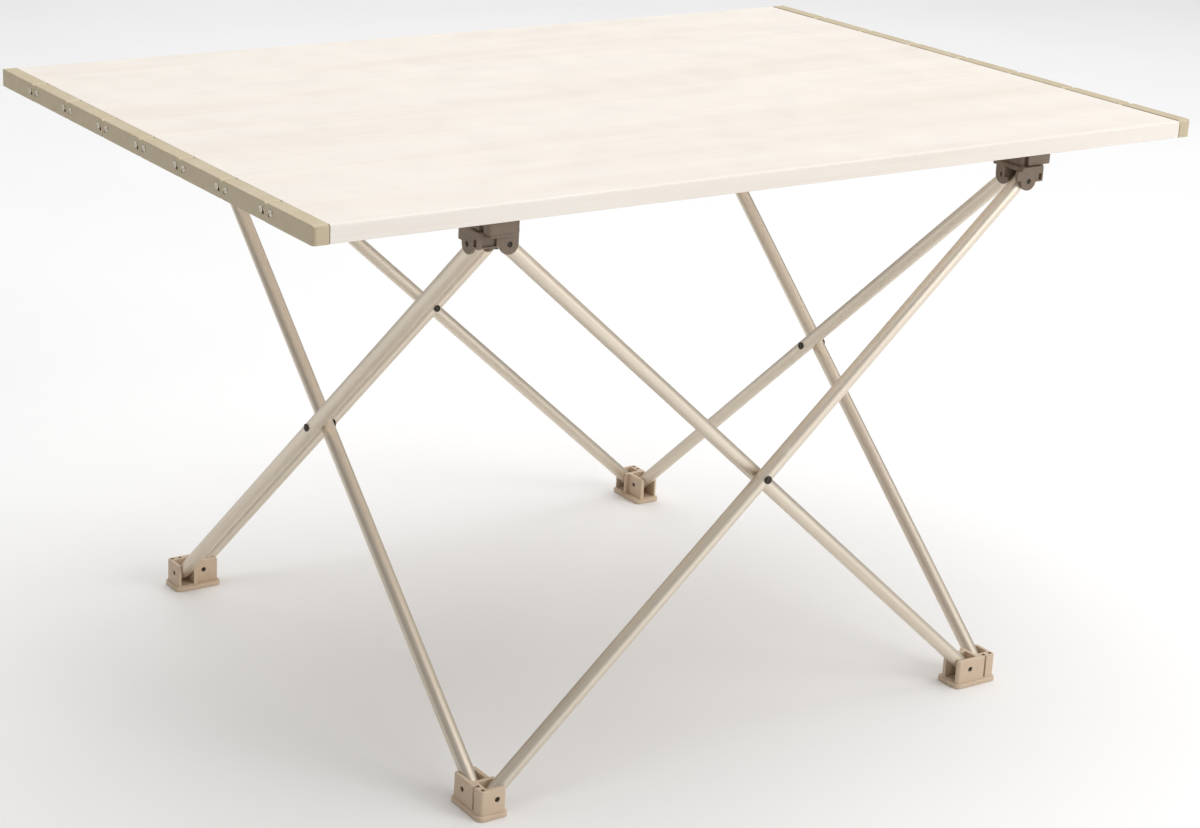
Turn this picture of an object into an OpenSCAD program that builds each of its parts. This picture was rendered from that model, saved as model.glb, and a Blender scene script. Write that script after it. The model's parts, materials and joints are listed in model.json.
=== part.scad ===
// Roll-top camp kitchen table: eight hinged slats that lift off a four-sided scissor frame.
// Origin: centre of the footprint on the ground. X runs along the slats, Y across them, Z is up.

/* [Table top] */
// Length of the table over its end caps
table_l = 685; // [560:1:830]
// Width of the table across all its slats
table_w = 460; // [380:1:560]
// Height of the top above the ground
table_h = 404; // [320:1:490]
// Thickness of a slat
slat_t = 12; // [10:0.1:16]
// Wall of the hollow slat
slat_wall = 0.9; // [0.7:0.1:1.5]
// Gap between two slats that lie flat
seam_gap = 0.1; // [0.06:0.01:0.4]
// How far a cap's top stands above the slat's
cap_lip = 0.4; // [0.2:0.1:1]

/* [End caps and seam hinges] */
// Length of an end cap, out to its flat end
cap_l = 11; // [9:0.5:16]
// Length of the plug that holds a cap in its slat
plug_l = 12; // [6:0.5:25]
// Gap round the plug
plug_gap = 0.15; // [0.05:0.01:0.3]
// Outer wall of a cap, outside the hinge link
cap_wall = 2.2; // [1.6:0.1:3]
// Thickness of a hinge link
link_t = 2; // [1.4:0.1:3]
// Radius of a link round each of its pins
link_r = 3.2; // [2.6:0.1:3.6]
// Gap on each side of a link in its slot
link_gap = 0.2; // [0.1:0.05:0.4]
// Radius of a link's pin
seam_pin_r = 1.25; // [0.9:0.05:1.6]
// Distance from the seam to each of its two pins
seam_pin_in = 6; // [5:0.1:8]
// Depth of the pins below the top of the caps
seam_pin_drop = 5; // [4.4:0.1:6]
// Radius of a pin's head
pin_head_r = 2.1; // [1.6:0.1:2.6]
// How far a pin's head stands out of the cap
pin_head_t = 0.5; // [0.3:0.1:1]
// Angle between a link and each of its two slats when the top is rolled up
roll_angle = 22; // [10:1:22]
// Radius of the upper corners of a cap
cap_round = 1.6; // [0.6:0.1:2.4]

/* [Frame] */
// Distance from the table's long edge to the plane of the scissor pair below it
frame_inset = 19; // [17:0.5:30]
// Outer diameter of a leg
leg_d = 10; // [8:0.5:12]
// Wall of a leg
leg_wall = 1; // [0.8:0.1:2]
// Gap between the two legs of a scissor pair
leg_gap = 0.4; // [0.3:0.1:1]
// Distance from a corner of the frame to its hub and foot pins
pin_inset = 9.5; // [9:0.1:14]
// Depth of the hub pins below the table's top
hub_drop = 31; // [29:0.5:40]
// Height of the foot pins above the ground
foot_pin_h = 13; // [12:0.5:20]
// Radius of the hub and foot pins
pin_r = 1.9; // [1.4:0.1:2.2]
// Radius of the rivet where two legs cross
rivet_r = 1.6; // [1.2:0.1:2]
// Radius of the rivet's head
rivet_head_r = 2.8; // [2.2:0.1:3.6]
// Thickness of the rivet's head
rivet_head_t = 0.9; // [0.5:0.1:1.5]
// Radial clearance of a turning pin
pin_gap = 0.06; // [0.03:0.01:0.1]

/* [Hubs, feet and brackets] */
// Wall of each clevis cheek
cheek_t = 2.8; // [2:0.1:4]
// Gap between a leg and each cheek
cheek_gap = 0.3; // [0.15:0.05:0.6]
// Radius of a cheek round its pin
cheek_r = 6.5; // [6:0.1:8]
// How deep a pin's end lies in its cheek
pin_recess = 0.8; // [0.3:0.1:1.5]
// Thickness of the shoulder between a hub's clevises and its head
shoulder_t = 3; // [2:0.1:5]
// Side of the square head on a hub
head_w = 21; // [16:0.5:26]
// How far the head reaches out past the frame's corner
head_out = 8; // [5:0.5:10]
// Gap between a hub's head and its bracket
head_gap = 0.4; // [0.2:0.05:0.8]
// Thickness of a bracket's plate, under the slat
bracket_plate_t = 2.2; // [1.5:0.1:3]
// Thickness of a bracket's two outer walls
bracket_wall = 2.6; // [1.8:0.1:4]
// Radius of the lugs that hold a bracket to its slat
lug_r = 2.9; // [2:0.1:4]
// Height of a foot's body
foot_h = 20.5; // [20:0.5:32]
// Thickness of the flange round the bottom of a foot
flange_t = 3.5; // [2:0.1:6]
// How far the flange stands out round the foot
flange_out = 1.6; // [0.5:0.1:3]
// Length of a foot along its longer side
foot_l = 34; // [32:0.5:40]
// Radius of a foot's upright corners
foot_corner_r = 2.6; // [1:0.1:4]

/* [Hidden] */
$fn = 48;
slats = 8;
pitch = table_w / slats;
slat_l = table_l - 2 * cap_l;
slat_top = table_h - cap_lip;
slat_bottom = table_h - slat_t;
seam_pin_z = table_h - seam_pin_drop;
slat_round = 1;
seam_round = 0.2;
low_bevel = 0.8;
swing_r = sqrt(seam_pin_in * seam_pin_in + seam_pin_drop * seam_pin_drop);
swing_start = atan2(seam_pin_drop, seam_pin_in);
swing_end = swing_start + roll_angle + 1;
tangent_gap = 0.02;
slot_w = link_t + 2 * link_gap;
slot_r = link_r + 0.5;
link_low = 2.6;
link_high = 1;
pin_hold = 3;
pin_head_gap = 0.05;
cell_side = slat_wall + 0.5;
cell_shoulder = 2.4;
cut = 1;

half = table_w / 2 - frame_inset;
leg_r = leg_d / 2;
leg_off = (leg_d + leg_gap) / 2;
hub_z = table_h - hub_drop;
span = 2 * (half - pin_inset);
rise = hub_z - foot_pin_h;
leg_len = sqrt(span * span + rise * rise);
leg_angle = atan2(rise, span);
slot_half = leg_r + cheek_gap;
leg_end_gap = 1.3;
leg_top_gap = 1.5;
post_end = pin_inset - leg_r - leg_end_gap;
clevis_end = pin_inset + cheek_r;
clevis_far = slot_half + cheek_t + leg_off;
clevis_near = slot_half + cheek_t - leg_off;
shoulder_bottom = hub_z + leg_r + leg_top_gap;
shoulder_top = shoulder_bottom + shoulder_t;
head_top = slat_bottom - bracket_plate_t - head_gap;
pocket_w = 3;
pocket_depth = 1.6;
pocket_h = 4.5;
pocket_up = 1.2;
post_low = 1;
second_clevis_extra = 4;
bracket_in = head_out + head_gap;
bracket_out = bracket_in + bracket_wall;
bracket_reach = head_w - head_out + 2;
bracket_wall_reach = head_w - head_out - 4;
bracket_wall_z = shoulder_top + head_gap;
notch_w = 5;
notch_h = 4;
lug_near = 9;
lug_apart = 14;
lug_back = 6.5;
lug_in = 1.4;
lug_gap = 0.05;
press_gap = 0.02;
foot_end_gap = 0.5;
foot_floor = flange_t + 0.8;
groove_w = 1.8;
groove_depth = 1.4;
socket_wall = 1.5;
socket_depth = 6;
rivet_stand = 0.1;
rivet_taper = 0.8;
rivet_eye_r = 0.9;

champagne = [0.83, 0.78, 0.70];
cream = [0.95, 0.92, 0.88];
taupe = [0.45, 0.41, 0.35];
khaki = [0.72, 0.63, 0.53];
bright = [0.86, 0.83, 0.76];
dark_steel = [0.25, 0.23, 0.21];

// Corners are counted anticlockwise from above: 0 front left, 1 front right, 2 rear right, 3 rear left.
// Side k runs from corner k to corner k + 1.

function slat_y(i) = -table_w / 2 + (i - 0.5) * pitch;
function seam_y(i) = -table_w / 2 + i * pitch;

// The right edge of an outline in Y and Z, with a bevel below and a round corner at the top.
function upright_edge(y, top, round) = concat(
    [[y - low_bevel, slat_bottom], [y, slat_bottom + low_bevel]],
    [for (a = [0:30:90]) [y + round * (cos(a) - 1), top + round * (sin(a) - 1)]]
);

function flip(points) = [for (k = [len(points) - 1:-1:0]) [-points[k][0], points[k][1]]];

// How far slat i reaches from its middle line to one side. At a seam it leaves half the gap.
function reach(i, side) = pitch / 2 - (i + side >= 1 && i + side <= slats ? seam_gap / 2 : 0);

// Outline of slat i, or of its caps, which are higher and have rounder corners.
module slat_outline(i) {
    polygon(concat(
        upright_edge(reach(i, 1), slat_top, i < slats ? seam_round : slat_round),
        flip(upright_edge(reach(i, -1), slat_top, i > 1 ? seam_round : slat_round))
    ));
}

module cap_outline(i) {
    polygon(concat(
        upright_edge(reach(i, 1), table_h, cap_round),
        flip(upright_edge(reach(i, -1), table_h, cap_round))
    ));
}

// One of a slat's two hollow cells, shrunk by a gap where a plug has to fit into it.
module cell_outline(side, gap) {
    outer = pitch / 2 - cell_side - gap;
    low = slat_bottom + slat_wall + gap;
    high = slat_top - slat_wall - gap;
    inner = slat_wall / 2 + gap;
    polygon([for (p = [[inner, low], [outer, low], [outer, high - 2 * cell_shoulder],
        [outer - cell_shoulder, high], [inner, high]]) [side * p[0], p[1]]]);
}

// Extrudes an outline drawn in Y and Z along X, from x0 to x1.
module along_x(x0, x1) {
    translate([x0, 0, 0]) rotate([90, 0, 90]) linear_extrude(x1 - x0) children();
}

// A round bar along X, from x0 to x1.
module bar_x(r, x0, x1) {
    translate([x0, 0, 0]) rotate([0, 90, 0]) cylinder(r = r, h = x1 - x0);
}

// A round bar along Y, from y0 to y1.
module bar_y(r, y0, y1) {
    translate([0, y1, 0]) rotate([90, 0, 0]) cylinder(r = r, h = y1 - y0);
}

// Repeats its children at both ends of the table.
module both_ends() {
    children();
    mirror([1, 0, 0]) children();
}

module slat(i) {
    color(cream) translate([0, slat_y(i), 0]) difference() {
        along_x(-slat_l / 2, slat_l / 2) slat_outline(i);
        for (side = [-1, 1]) along_x(-slat_l / 2 - cut, slat_l / 2 + cut) cell_outline(side, 0);
        if (i == 1) lug_holes(1);
        if (i == slats) lug_holes(-1);
    }
}

// Where the two lugs of one bracket stand, from the middle line of its slat.
function lug_places(dir) = [for (k = [0, 1]) [half - lug_near + k * lug_apart, -lug_back * dir]];

module lug_holes(dir) {
    both_ends() for (p = lug_places(dir))
        translate([p[0], p[1], slat_bottom - cut])
            cylinder(r = lug_r + lug_gap, h = slat_wall + 1.5 * cut);
}

// Which sides of slat i have a seam.
function seams_of(i) = [for (side = [-1, 1]) if ((side < 0 && i > 1) || (side > 0 && i < slats)) side];

module end_caps(i) {
    x_end = table_l / 2;
    x_slot = x_end - cap_wall - slot_w;
    color(taupe) translate([0, slat_y(i), 0]) both_ends() difference() {
        union() {
            along_x(x_end - cap_l, x_end) cap_outline(i);
            for (side = [-1, 1])
                along_x(x_end - cap_l - plug_l, x_end - cap_l + cut / 2) cell_outline(side, plug_gap);
        }
        for (side = seams_of(i)) {
            along_x(x_slot, x_slot + slot_w) from_seam(side) link_slot();
            along_x(x_slot - pin_hold - link_gap, x_end + cut) from_seam(side) pin_slot(seam_pin_r + pin_gap);
        }
    }
}

// Moves an outline's origin to the top edge of the seam on one side, with Y pointing into the slat.
module from_seam(side) {
    translate([side * pitch / 2, table_h]) mirror([side > 0 ? 1 : 0, 0]) children();
}

// Where a link's pin lies from the seam's top edge, about which the slat and the link turn.
function swing(a) = swing_r * [cos(a), -sin(a)];

// The slot that a link lies and turns in, open at the seam.
module link_slot() {
    for (a = [swing_start, (swing_start + swing_end) / 2, swing_end]) translate(swing(a)) {
        circle(r = slot_r);
        translate([-swing(a)[0] - cut, tangent_gap - slot_r])
            square([swing(a)[0] + cut, 2 * (slot_r - tangent_gap)]);
    }
}

// The short curved slot that a pin of radius r slides in: round ends joined by part of a ring.
module pin_slot(r) {
    half_w = r - tangent_gap;
    for (a = [swing_start, swing_end]) translate(swing(a)) circle(r = r);
    intersection() {
        difference() {
            circle(r = swing_r + half_w);
            circle(r = swing_r - half_w);
        }
        polygon(concat([[0, 0]], [for (a = [swing_start, swing_end]) 2 * swing(a)]));
    }
}

module seam_links(i) {
    x0 = table_l / 2 - cap_wall - link_gap - link_t;
    color(bright) translate([0, seam_y(i), seam_pin_z]) both_ends() difference() {
        along_x(x0, x0 + link_t) {
            for (side = [-1, 1]) translate([side * seam_pin_in, 0]) circle(r = link_r);
            translate([-seam_pin_in, -link_low]) square([2 * seam_pin_in, link_low + link_high]);
        }
        for (side = [-1, 1]) translate([0, side * seam_pin_in, 0])
            bar_x(seam_pin_r + press_gap, x0 - cut, x0 + link_t + cut);
    }
}

module seam_pins(i) {
    x_end = table_l / 2 + pin_head_gap;
    color(bright) translate([0, seam_y(i), seam_pin_z]) both_ends()
        for (side = [-1, 1]) translate([0, side * seam_pin_in, 0]) {
            bar_x(seam_pin_r, x_end - cap_wall - slot_w - pin_hold, x_end + pin_head_t / 2);
            bar_x(pin_head_r, x_end, x_end + pin_head_t);
        }
}

// A corner bracket under the slat: a plate on the hub's head and walls on its two outer sides.
module bracket() {
    difference() {
        union() {
            translate([half - bracket_reach, -half - bracket_out, slat_bottom - bracket_plate_t])
                cube([bracket_reach + bracket_out, bracket_reach + bracket_out, bracket_plate_t]);
            translate([half - bracket_wall_reach, -half - bracket_out, bracket_wall_z])
                cube([bracket_wall_reach + bracket_out, bracket_wall, slat_bottom - bracket_wall_z]);
            translate([half + bracket_in, -half - bracket_out, bracket_wall_z])
                cube([bracket_wall, bracket_wall_reach + bracket_out, slat_bottom - bracket_wall_z]);
        }
        translate([half + bracket_in - cut, -half - head_out + notch_w / 2, bracket_wall_z - cut])
            cube([bracket_wall + 2 * cut, notch_w, notch_h]);
    }
    for (p = lug_places(1)) translate([p[0], slat_y(1) + p[1], slat_bottom - cut])
        cylinder(r = lug_r, h = cut + slat_wall + lug_in);
}

module brackets(front) {
    color(taupe) mirror([0, front ? 0 : 1, 0]) both_ends() bracket();
}

// Turns its children round to corner k and moves their origin to that corner of the frame.
module corner(k) {
    rotate([0, 0, 90 * k]) translate([-half, -half, 0]) children();
}

// A cheek's outline round a pin at (pin_inset, 0), closed up to the given height.
module cheek_outline(up, back, end) {
    translate([pin_inset, 0]) circle(r = cheek_r);
    translate([back, 0]) square([end - back, up]);
}

// The two cheeks of a clevis whose leg runs along X. Its middle plane is at y = mid.
module cheeks(mid, z, up, back, end) {
    for (side = [-1, 1]) translate([0, mid + side * (slot_half + cheek_t / 2) + cheek_t / 2, z])
        rotate([90, 0, 0]) linear_extrude(cheek_t) cheek_outline(up, back, end);
}

// Swaps X and Y, which turns the first clevis of a corner into the second.
module swap_xy() {
    mirror([1, -1, 0]) children();
}

// A hub: a corner post with a clevis to each side, a shoulder over them and a square head on top.
module hub(k) {
    far = clevis_far;
    near = clevis_near;
    z0 = hub_z - post_low;
    cheek_up = shoulder_bottom + cut - hub_z;
    color(taupe) corner(k) difference() {
        union() {
            cheeks(leg_off, hub_z, cheek_up, post_end - cut, clevis_end);
            swap_xy() cheeks(-leg_off, hub_z, cheek_up, post_end - cut, clevis_end + second_clevis_extra);
            translate([-far, -near, z0]) cube([far + post_end, near + post_end, shoulder_top - z0]);
            translate([-far, -near, shoulder_bottom])
                cube([far + clevis_end, near + clevis_end, shoulder_t]);
            translate([-head_out, -head_out, shoulder_bottom])
                cube([head_w, head_w, head_top - shoulder_bottom]);
        }
        translate([pin_inset, 0, hub_z]) bar_y(pin_r + press_gap, -far, 2 * far);
        swap_xy() translate([pin_inset, 0, hub_z]) bar_y(pin_r + press_gap, -2 * far, far);
        // Pockets in both outer sides of the corner post
        translate([pocket_w - far, -near - cut, z0 + pocket_up])
            cube([far - pocket_w, cut + pocket_depth, pocket_h]);
        translate([-far - cut, pocket_w / 2 - near, z0 + pocket_up])
            cube([cut + pocket_depth, pocket_w, pocket_h]);
        // Pocket in the head, over the shoulder
        translate([-pocket_w, -head_out - cut, shoulder_top + cut])
            cube([3 * pocket_w, cut + pocket_depth, pocket_w]);
    }
}

// The pins of a hub or foot whose two clevises have their middle planes at y = mid and x = -mid.
module clevis_pins(mid, z) {
    reach = slot_half + cheek_t - pin_recess;
    translate([pin_inset, 0, z]) bar_y(pin_r, mid - reach, mid + reach);
    swap_xy() translate([pin_inset, 0, z]) bar_y(pin_r, -mid - reach, -mid + reach);
}

module hub_pins(k) {
    color(dark_steel) corner(k) clevis_pins(leg_off, hub_z);
}

module foot_pins(k) {
    color(dark_steel) corner(k) clevis_pins(-leg_off, foot_pin_h);
}

// A leg along X from its upper pin at the origin, before it is tilted.
module leg_tube() {
    difference() {
        intersection() {
            bar_x(leg_r, -leg_d, leg_len + leg_d);
            rotate([90, 0, 0]) linear_extrude(2 * leg_d, center = true) {
                for (x = [0, leg_len]) translate([x, 0]) circle(r = leg_r);
                translate([0, -leg_r]) square([leg_len, leg_d]);
            }
        }
        bar_x(leg_r - leg_wall, -leg_d - 1, leg_len + leg_d + 1);
        for (x = [0, leg_len]) translate([x, 0, 0]) bar_y(pin_r + pin_gap, -leg_d, leg_d);
        translate([leg_len / 2, 0, 0]) bar_y(rivet_r + pin_gap, -leg_d, leg_d);
    }
}

module inner_leg(k) {
    color(champagne) rotate([0, 0, 90 * k])
        translate([-span / 2, -half + leg_off, hub_z]) rotate([0, leg_angle, 0]) leg_tube();
}

module outer_leg(k) {
    color(champagne) rotate([0, 0, 90 * k])
        translate([span / 2, -half - leg_off, hub_z]) mirror([1, 0, 0])
            rotate([0, leg_angle, 0]) leg_tube();
}

module rivet(k) {
    reach = leg_off + leg_r + rivet_stand;
    color(dark_steel) rotate([0, 0, 90 * k]) translate([0, -half, hub_z - rise / 2]) difference() {
        union() {
            bar_y(rivet_r, -reach, reach);
            for (side = [-1, 1]) translate([0, side * reach, 0])
                rotate([-90 * side, 0, 0])
                    cylinder(r1 = rivet_head_r, r2 = rivet_head_r - rivet_taper, h = rivet_head_t);
        }
        for (side = [-1, 1]) translate([0, side * (reach + rivet_head_t + cut), 0])
            rotate([90 * side, 0, 0]) cylinder(r = rivet_eye_r, h = leg_r);
    }
}

// A rectangle with round corners, from p to q.
module round_rect(p, q, r) {
    translate([p[0] + r, p[1]]) square([q[0] - p[0] - 2 * r, q[1] - p[1]]);
    translate([p[0], p[1] + r]) square([q[0] - p[0], q[1] - p[1] - 2 * r]);
    for (x = [p[0] + r, q[0] - r], y = [p[1] + r, q[1] - r]) translate([x, y]) circle(r = r);
}

// A foot: a block with a flange, slotted from above for the ends of two legs.
module foot(k) {
    far = clevis_far;
    near = clevis_near;
    p = [-near, -far];
    q = [clevis_end + foot_end_gap, foot_l - far];
    f = flange_out;
    socket_l = post_end + near - 2 * socket_wall;
    color(khaki) corner(k) difference() {
        union() {
            linear_extrude(foot_h) round_rect(p, q, foot_corner_r);
            linear_extrude(flange_t)
                round_rect([p[0] - f, p[1] - f], [q[0] + f, q[1] + f], foot_corner_r + f);
        }
        // Slot of the outer leg, open at the top and towards the table's middle
        translate([post_end, -leg_off - slot_half, foot_floor]) cube([foot_l, 2 * slot_half, foot_h]);
        // Slot of the inner leg
        translate([leg_off - slot_half, post_end, foot_floor]) cube([2 * slot_half, foot_l, foot_h]);
        // Space beside the two slots, which lets the foot's inner corner stay open
        translate([leg_off + slot_half + cheek_t, slot_half - leg_off + cheek_t, flange_t])
            cube([foot_l, foot_l, foot_h]);
        translate([pin_inset, 0, foot_pin_h]) bar_y(pin_r + press_gap, -far - cut, far);
        swap_xy() translate([pin_inset, 0, foot_pin_h]) bar_y(pin_r + press_gap, -far, 2 * far);
        // Upright groove in the outer side
        translate([-near - cut, -leg_off, foot_floor]) cube([cut + groove_depth, groove_w, foot_h]);
        // Two sockets in the top of the corner
        for (y = [socket_wall, 3 * socket_wall + pocket_w])
            translate([socket_wall - near, y - far, foot_h - socket_depth])
                cube([socket_l, pocket_w, socket_depth + cut]);
    }
}

slat(1);  // slat_1
slat(2);  // slat_2
slat(3);  // slat_3
slat(4);  // slat_4
slat(5);  // slat_5
slat(6);  // slat_6
slat(7);  // slat_7
slat(8);  // slat_8
end_caps(1);  // end_caps_1
end_caps(2);  // end_caps_2
end_caps(3);  // end_caps_3
end_caps(4);  // end_caps_4
end_caps(5);  // end_caps_5
end_caps(6);  // end_caps_6
end_caps(7);  // end_caps_7
end_caps(8);  // end_caps_8
seam_links(1);  // seam_links_1
seam_links(2);  // seam_links_2
seam_links(3);  // seam_links_3
seam_links(4);  // seam_links_4
seam_links(5);  // seam_links_5
seam_links(6);  // seam_links_6
seam_links(7);  // seam_links_7
seam_pins(1);  // seam_pins_1
seam_pins(2);  // seam_pins_2
seam_pins(3);  // seam_pins_3
seam_pins(4);  // seam_pins_4
seam_pins(5);  // seam_pins_5
seam_pins(6);  // seam_pins_6
seam_pins(7);  // seam_pins_7
brackets(true);  // brackets_front
brackets(false);  // brackets_rear
hub(0);  // hub_front_left
hub(1);  // hub_front_right
hub(2);  // hub_rear_right
hub(3);  // hub_rear_left
hub_pins(0);  // hub_pins_front_left
hub_pins(1);  // hub_pins_front_right
hub_pins(2);  // hub_pins_rear_right
hub_pins(3);  // hub_pins_rear_left
inner_leg(0);  // leg_front_inner
inner_leg(1);  // leg_right_inner
inner_leg(2);  // leg_rear_inner
inner_leg(3);  // leg_left_inner
outer_leg(0);  // leg_front_outer
outer_leg(1);  // leg_right_outer
outer_leg(2);  // leg_rear_outer
outer_leg(3);  // leg_left_outer
rivet(0);  // rivet_front
rivet(1);  // rivet_right
rivet(2);  // rivet_rear
rivet(3);  // rivet_left
foot(0);  // foot_front_left
foot(1);  // foot_front_right
foot(2);  // foot_rear_right
foot(3);  // foot_rear_left
foot_pins(0);  // foot_pins_front_left
foot_pins(1);  // foot_pins_front_right
foot_pins(2);  // foot_pins_rear_right
foot_pins(3);  // foot_pins_rear_left
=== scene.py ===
"""Looks of the roll-top camp table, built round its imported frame.

All pieces are in metres in the frame's own axes: X runs along the slats, Y across them
towards the rear, Z is up, and the origin is on the ground under the table's middle.
"""

import json
import logging
import math
from collections.abc import Callable, Iterable, Iterator
from contextlib import contextmanager
from dataclasses import dataclass
from enum import Enum

import bmesh
import bpy
from mathutils import Matrix, Vector

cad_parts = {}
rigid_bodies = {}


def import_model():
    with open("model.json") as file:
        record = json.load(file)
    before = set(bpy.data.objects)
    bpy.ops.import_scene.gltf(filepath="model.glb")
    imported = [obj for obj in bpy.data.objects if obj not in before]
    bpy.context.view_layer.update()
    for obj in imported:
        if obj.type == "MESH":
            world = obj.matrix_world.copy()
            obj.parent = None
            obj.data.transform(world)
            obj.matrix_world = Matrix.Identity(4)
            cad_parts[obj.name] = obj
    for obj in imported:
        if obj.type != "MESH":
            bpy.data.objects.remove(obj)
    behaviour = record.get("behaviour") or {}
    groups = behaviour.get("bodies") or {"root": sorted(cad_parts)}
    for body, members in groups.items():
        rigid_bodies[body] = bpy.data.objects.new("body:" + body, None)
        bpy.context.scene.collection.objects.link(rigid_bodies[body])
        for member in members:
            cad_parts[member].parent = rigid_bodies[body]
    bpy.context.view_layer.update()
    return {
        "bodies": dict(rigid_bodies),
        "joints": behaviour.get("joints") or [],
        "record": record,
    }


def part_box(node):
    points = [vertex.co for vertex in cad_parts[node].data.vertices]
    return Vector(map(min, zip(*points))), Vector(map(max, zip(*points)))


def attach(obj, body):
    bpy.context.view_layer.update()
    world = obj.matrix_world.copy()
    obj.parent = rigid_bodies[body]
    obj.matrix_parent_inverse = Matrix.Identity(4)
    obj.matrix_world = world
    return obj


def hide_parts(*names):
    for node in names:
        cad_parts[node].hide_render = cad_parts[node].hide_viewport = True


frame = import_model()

LOG = logging.getLogger("camp_table")

MM = 0.001
CUT = 1 * MM
SAME = 0.01 * MM
SHARP = math.radians(38)
QUARTER = math.pi / 2
LENGTHWISE = "lengthwise"

Piece = bpy.types.Object
Point = tuple[float, float, float]
Colour = tuple[float, float, float]


class QuarterTurn(Enum):
    """Places round the table whose values count quarter turns from the first one."""

    @property
    def label(self) -> str:
        """The place's name as the frame writes it."""
        return self.name.lower()

    @property
    def turn(self) -> Matrix:
        """The turn from the first place to this one."""
        return Matrix.Rotation(self.value * QUARTER, 4, "Z")


class Corner(QuarterTurn):
    """The table's corners."""

    FRONT_LEFT = 0
    FRONT_RIGHT = 1
    REAR_RIGHT = 2
    REAR_LEFT = 3


class Side(QuarterTurn):
    """The four scissor pairs."""

    FRONT = 0
    RIGHT = 1
    REAR = 2
    LEFT = 3


class Joining(Enum):
    """Ways in which one closed solid changes another."""

    ADD = "UNION"
    CUT = "DIFFERENCE"
    KEEP = "INTERSECT"


# --- Reading the frame ---------------------------------------------------------------------


@dataclass(frozen=True)
class Plan:
    """The table's main sizes and places, in metres.

    Attributes:
        top_z: Height of the end caps' tops.
        slat_top: Height of the slats' tops.
        slat_bottom: Height of the slats' undersides.
        slat_x: Distance from the middle to a slat's end.
        cap_x: Distance from the middle to a cap's outer face.
        pitch: Distance from one slat to the next.
        slats: Number of slats.
        half: Distance from the middle to the plane of a scissor pair.
        pin_inset: Distance from a frame corner to its hub and foot pins.
        leg_off: Distance from the plane of a scissor pair to a leg's axis.
        hub_z: Height of the hub pins.
        foot_z: Height of the foot pins.
    """

    top_z: float
    slat_top: float
    slat_bottom: float
    slat_x: float
    cap_x: float
    pitch: float
    slats: int
    half: float
    pin_inset: float
    leg_off: float
    hub_z: float
    foot_z: float

    @classmethod
    def from_frame(cls) -> "Plan":
        """Reads the sizes from the frame's joints and boxes.

        Returns:
            The table's plan.
        """
        places = {j["name"]: j.get("pos_m") for j in frame["joints"]}
        slat_low, slat_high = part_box("slat_2")
        cap_low, cap_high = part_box("end_caps_2")
        fold = places["frame_fold"]
        half = -places["front_crossing"][1]
        seams = [places["top_roll"][1], places["seam_2_roll"][1]]
        return cls(
            top_z=cap_high[2],
            slat_top=slat_high[2],
            slat_bottom=slat_low[2],
            slat_x=slat_high[0],
            cap_x=cap_high[0],
            pitch=seams[1] - seams[0],
            slats=sum(1 for body in frame["bodies"] if body.startswith("slat_")),
            half=half,
            pin_inset=half + fold[0],
            leg_off=fold[1] + half,
            hub_z=fold[2],
            foot_z=places["front_left_foot"][2],
        )

    def slat_y(self, number: int) -> float:
        """The middle line of a slat, counted from 1 at the front."""
        return (number - (self.slats + 1) / 2) * self.pitch

    def seam_y(self, number: int) -> float:
        """The seam behind a slat."""
        return self.slat_y(number) + self.pitch / 2

    def at_corner(self, corner: Corner) -> Matrix:
        """Moves what is drawn round the origin to a corner of the frame.

        Args:
            corner: The corner to turn it to.

        Returns:
            The matrix of that move.
        """
        return corner.turn @ Matrix.Translation((-self.half, -self.half, 0))


# --- Bench work ----------------------------------------------------------------------------


def near(value: float, wanted: float) -> bool:
    """Tells whether two sizes are the same."""
    return abs(value - wanted) < SAME


def lies_along(axis: int, first: Vector, last: Vector) -> bool:
    """Tells whether an edge runs along one axis."""
    return all(near(first[k], last[k]) for k in range(3) if k != axis)


def pick(*pieces: Piece) -> None:
    """Selects these pieces only, and makes the first one active."""
    bpy.ops.object.select_all(action="DESELECT")
    for piece in pieces:
        piece.select_set(True)
    if pieces:
        bpy.context.view_layer.objects.active = pieces[0]


def block(low: Iterable[float], high: Iterable[float]) -> Piece:
    """Adds a block between two corners.

    Args:
        low: Its lowest corner.
        high: Its highest corner.

    Returns:
        The block, with its place in its mesh.
    """
    low, high = Vector(low), Vector(high)
    pick()
    bpy.ops.mesh.primitive_cube_add(size=1, location=(low + high) / 2)
    piece = bpy.context.object
    piece.scale = high - low
    bpy.ops.object.transform_apply(location=True, rotation=True, scale=True)
    return piece


def bar(start: Iterable[float], end: Iterable[float], radius: float, sides: int = 40) -> Piece:
    """Adds a round bar from one point to another.

    Args:
        start: The middle of its first end.
        end: The middle of its last end.
        radius: Its radius.
        sides: How many sides stand for its round.

    Returns:
        The bar, with its place in its mesh.
    """
    start, end = Vector(start), Vector(end)
    pick()
    bpy.ops.mesh.primitive_cylinder_add(
        vertices=sides,
        radius=radius,
        depth=(end - start).length,
        location=(start + end) / 2,
        rotation=(end - start).to_track_quat("Z", "Y").to_euler(),
    )
    bpy.ops.object.transform_apply(location=True, rotation=True, scale=True)
    return bpy.context.object


@contextmanager
def editing(piece: Piece, kind: str) -> Iterator[bmesh.types.BMesh]:
    """Opens a piece in edit mode with nothing selected.

    Args:
        piece: The piece to shape.
        kind: VERT, EDGE or FACE, whichever is going to be selected.

    Yields:
        The open mesh, in which the caller selects.
    """
    pick(piece)
    bpy.ops.object.mode_set(mode="EDIT")
    bpy.ops.mesh.select_mode(type=kind)
    bpy.ops.mesh.select_all(action="DESELECT")
    yield bmesh.from_edit_mesh(piece.data)
    bpy.ops.object.mode_set(mode="OBJECT")


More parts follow.
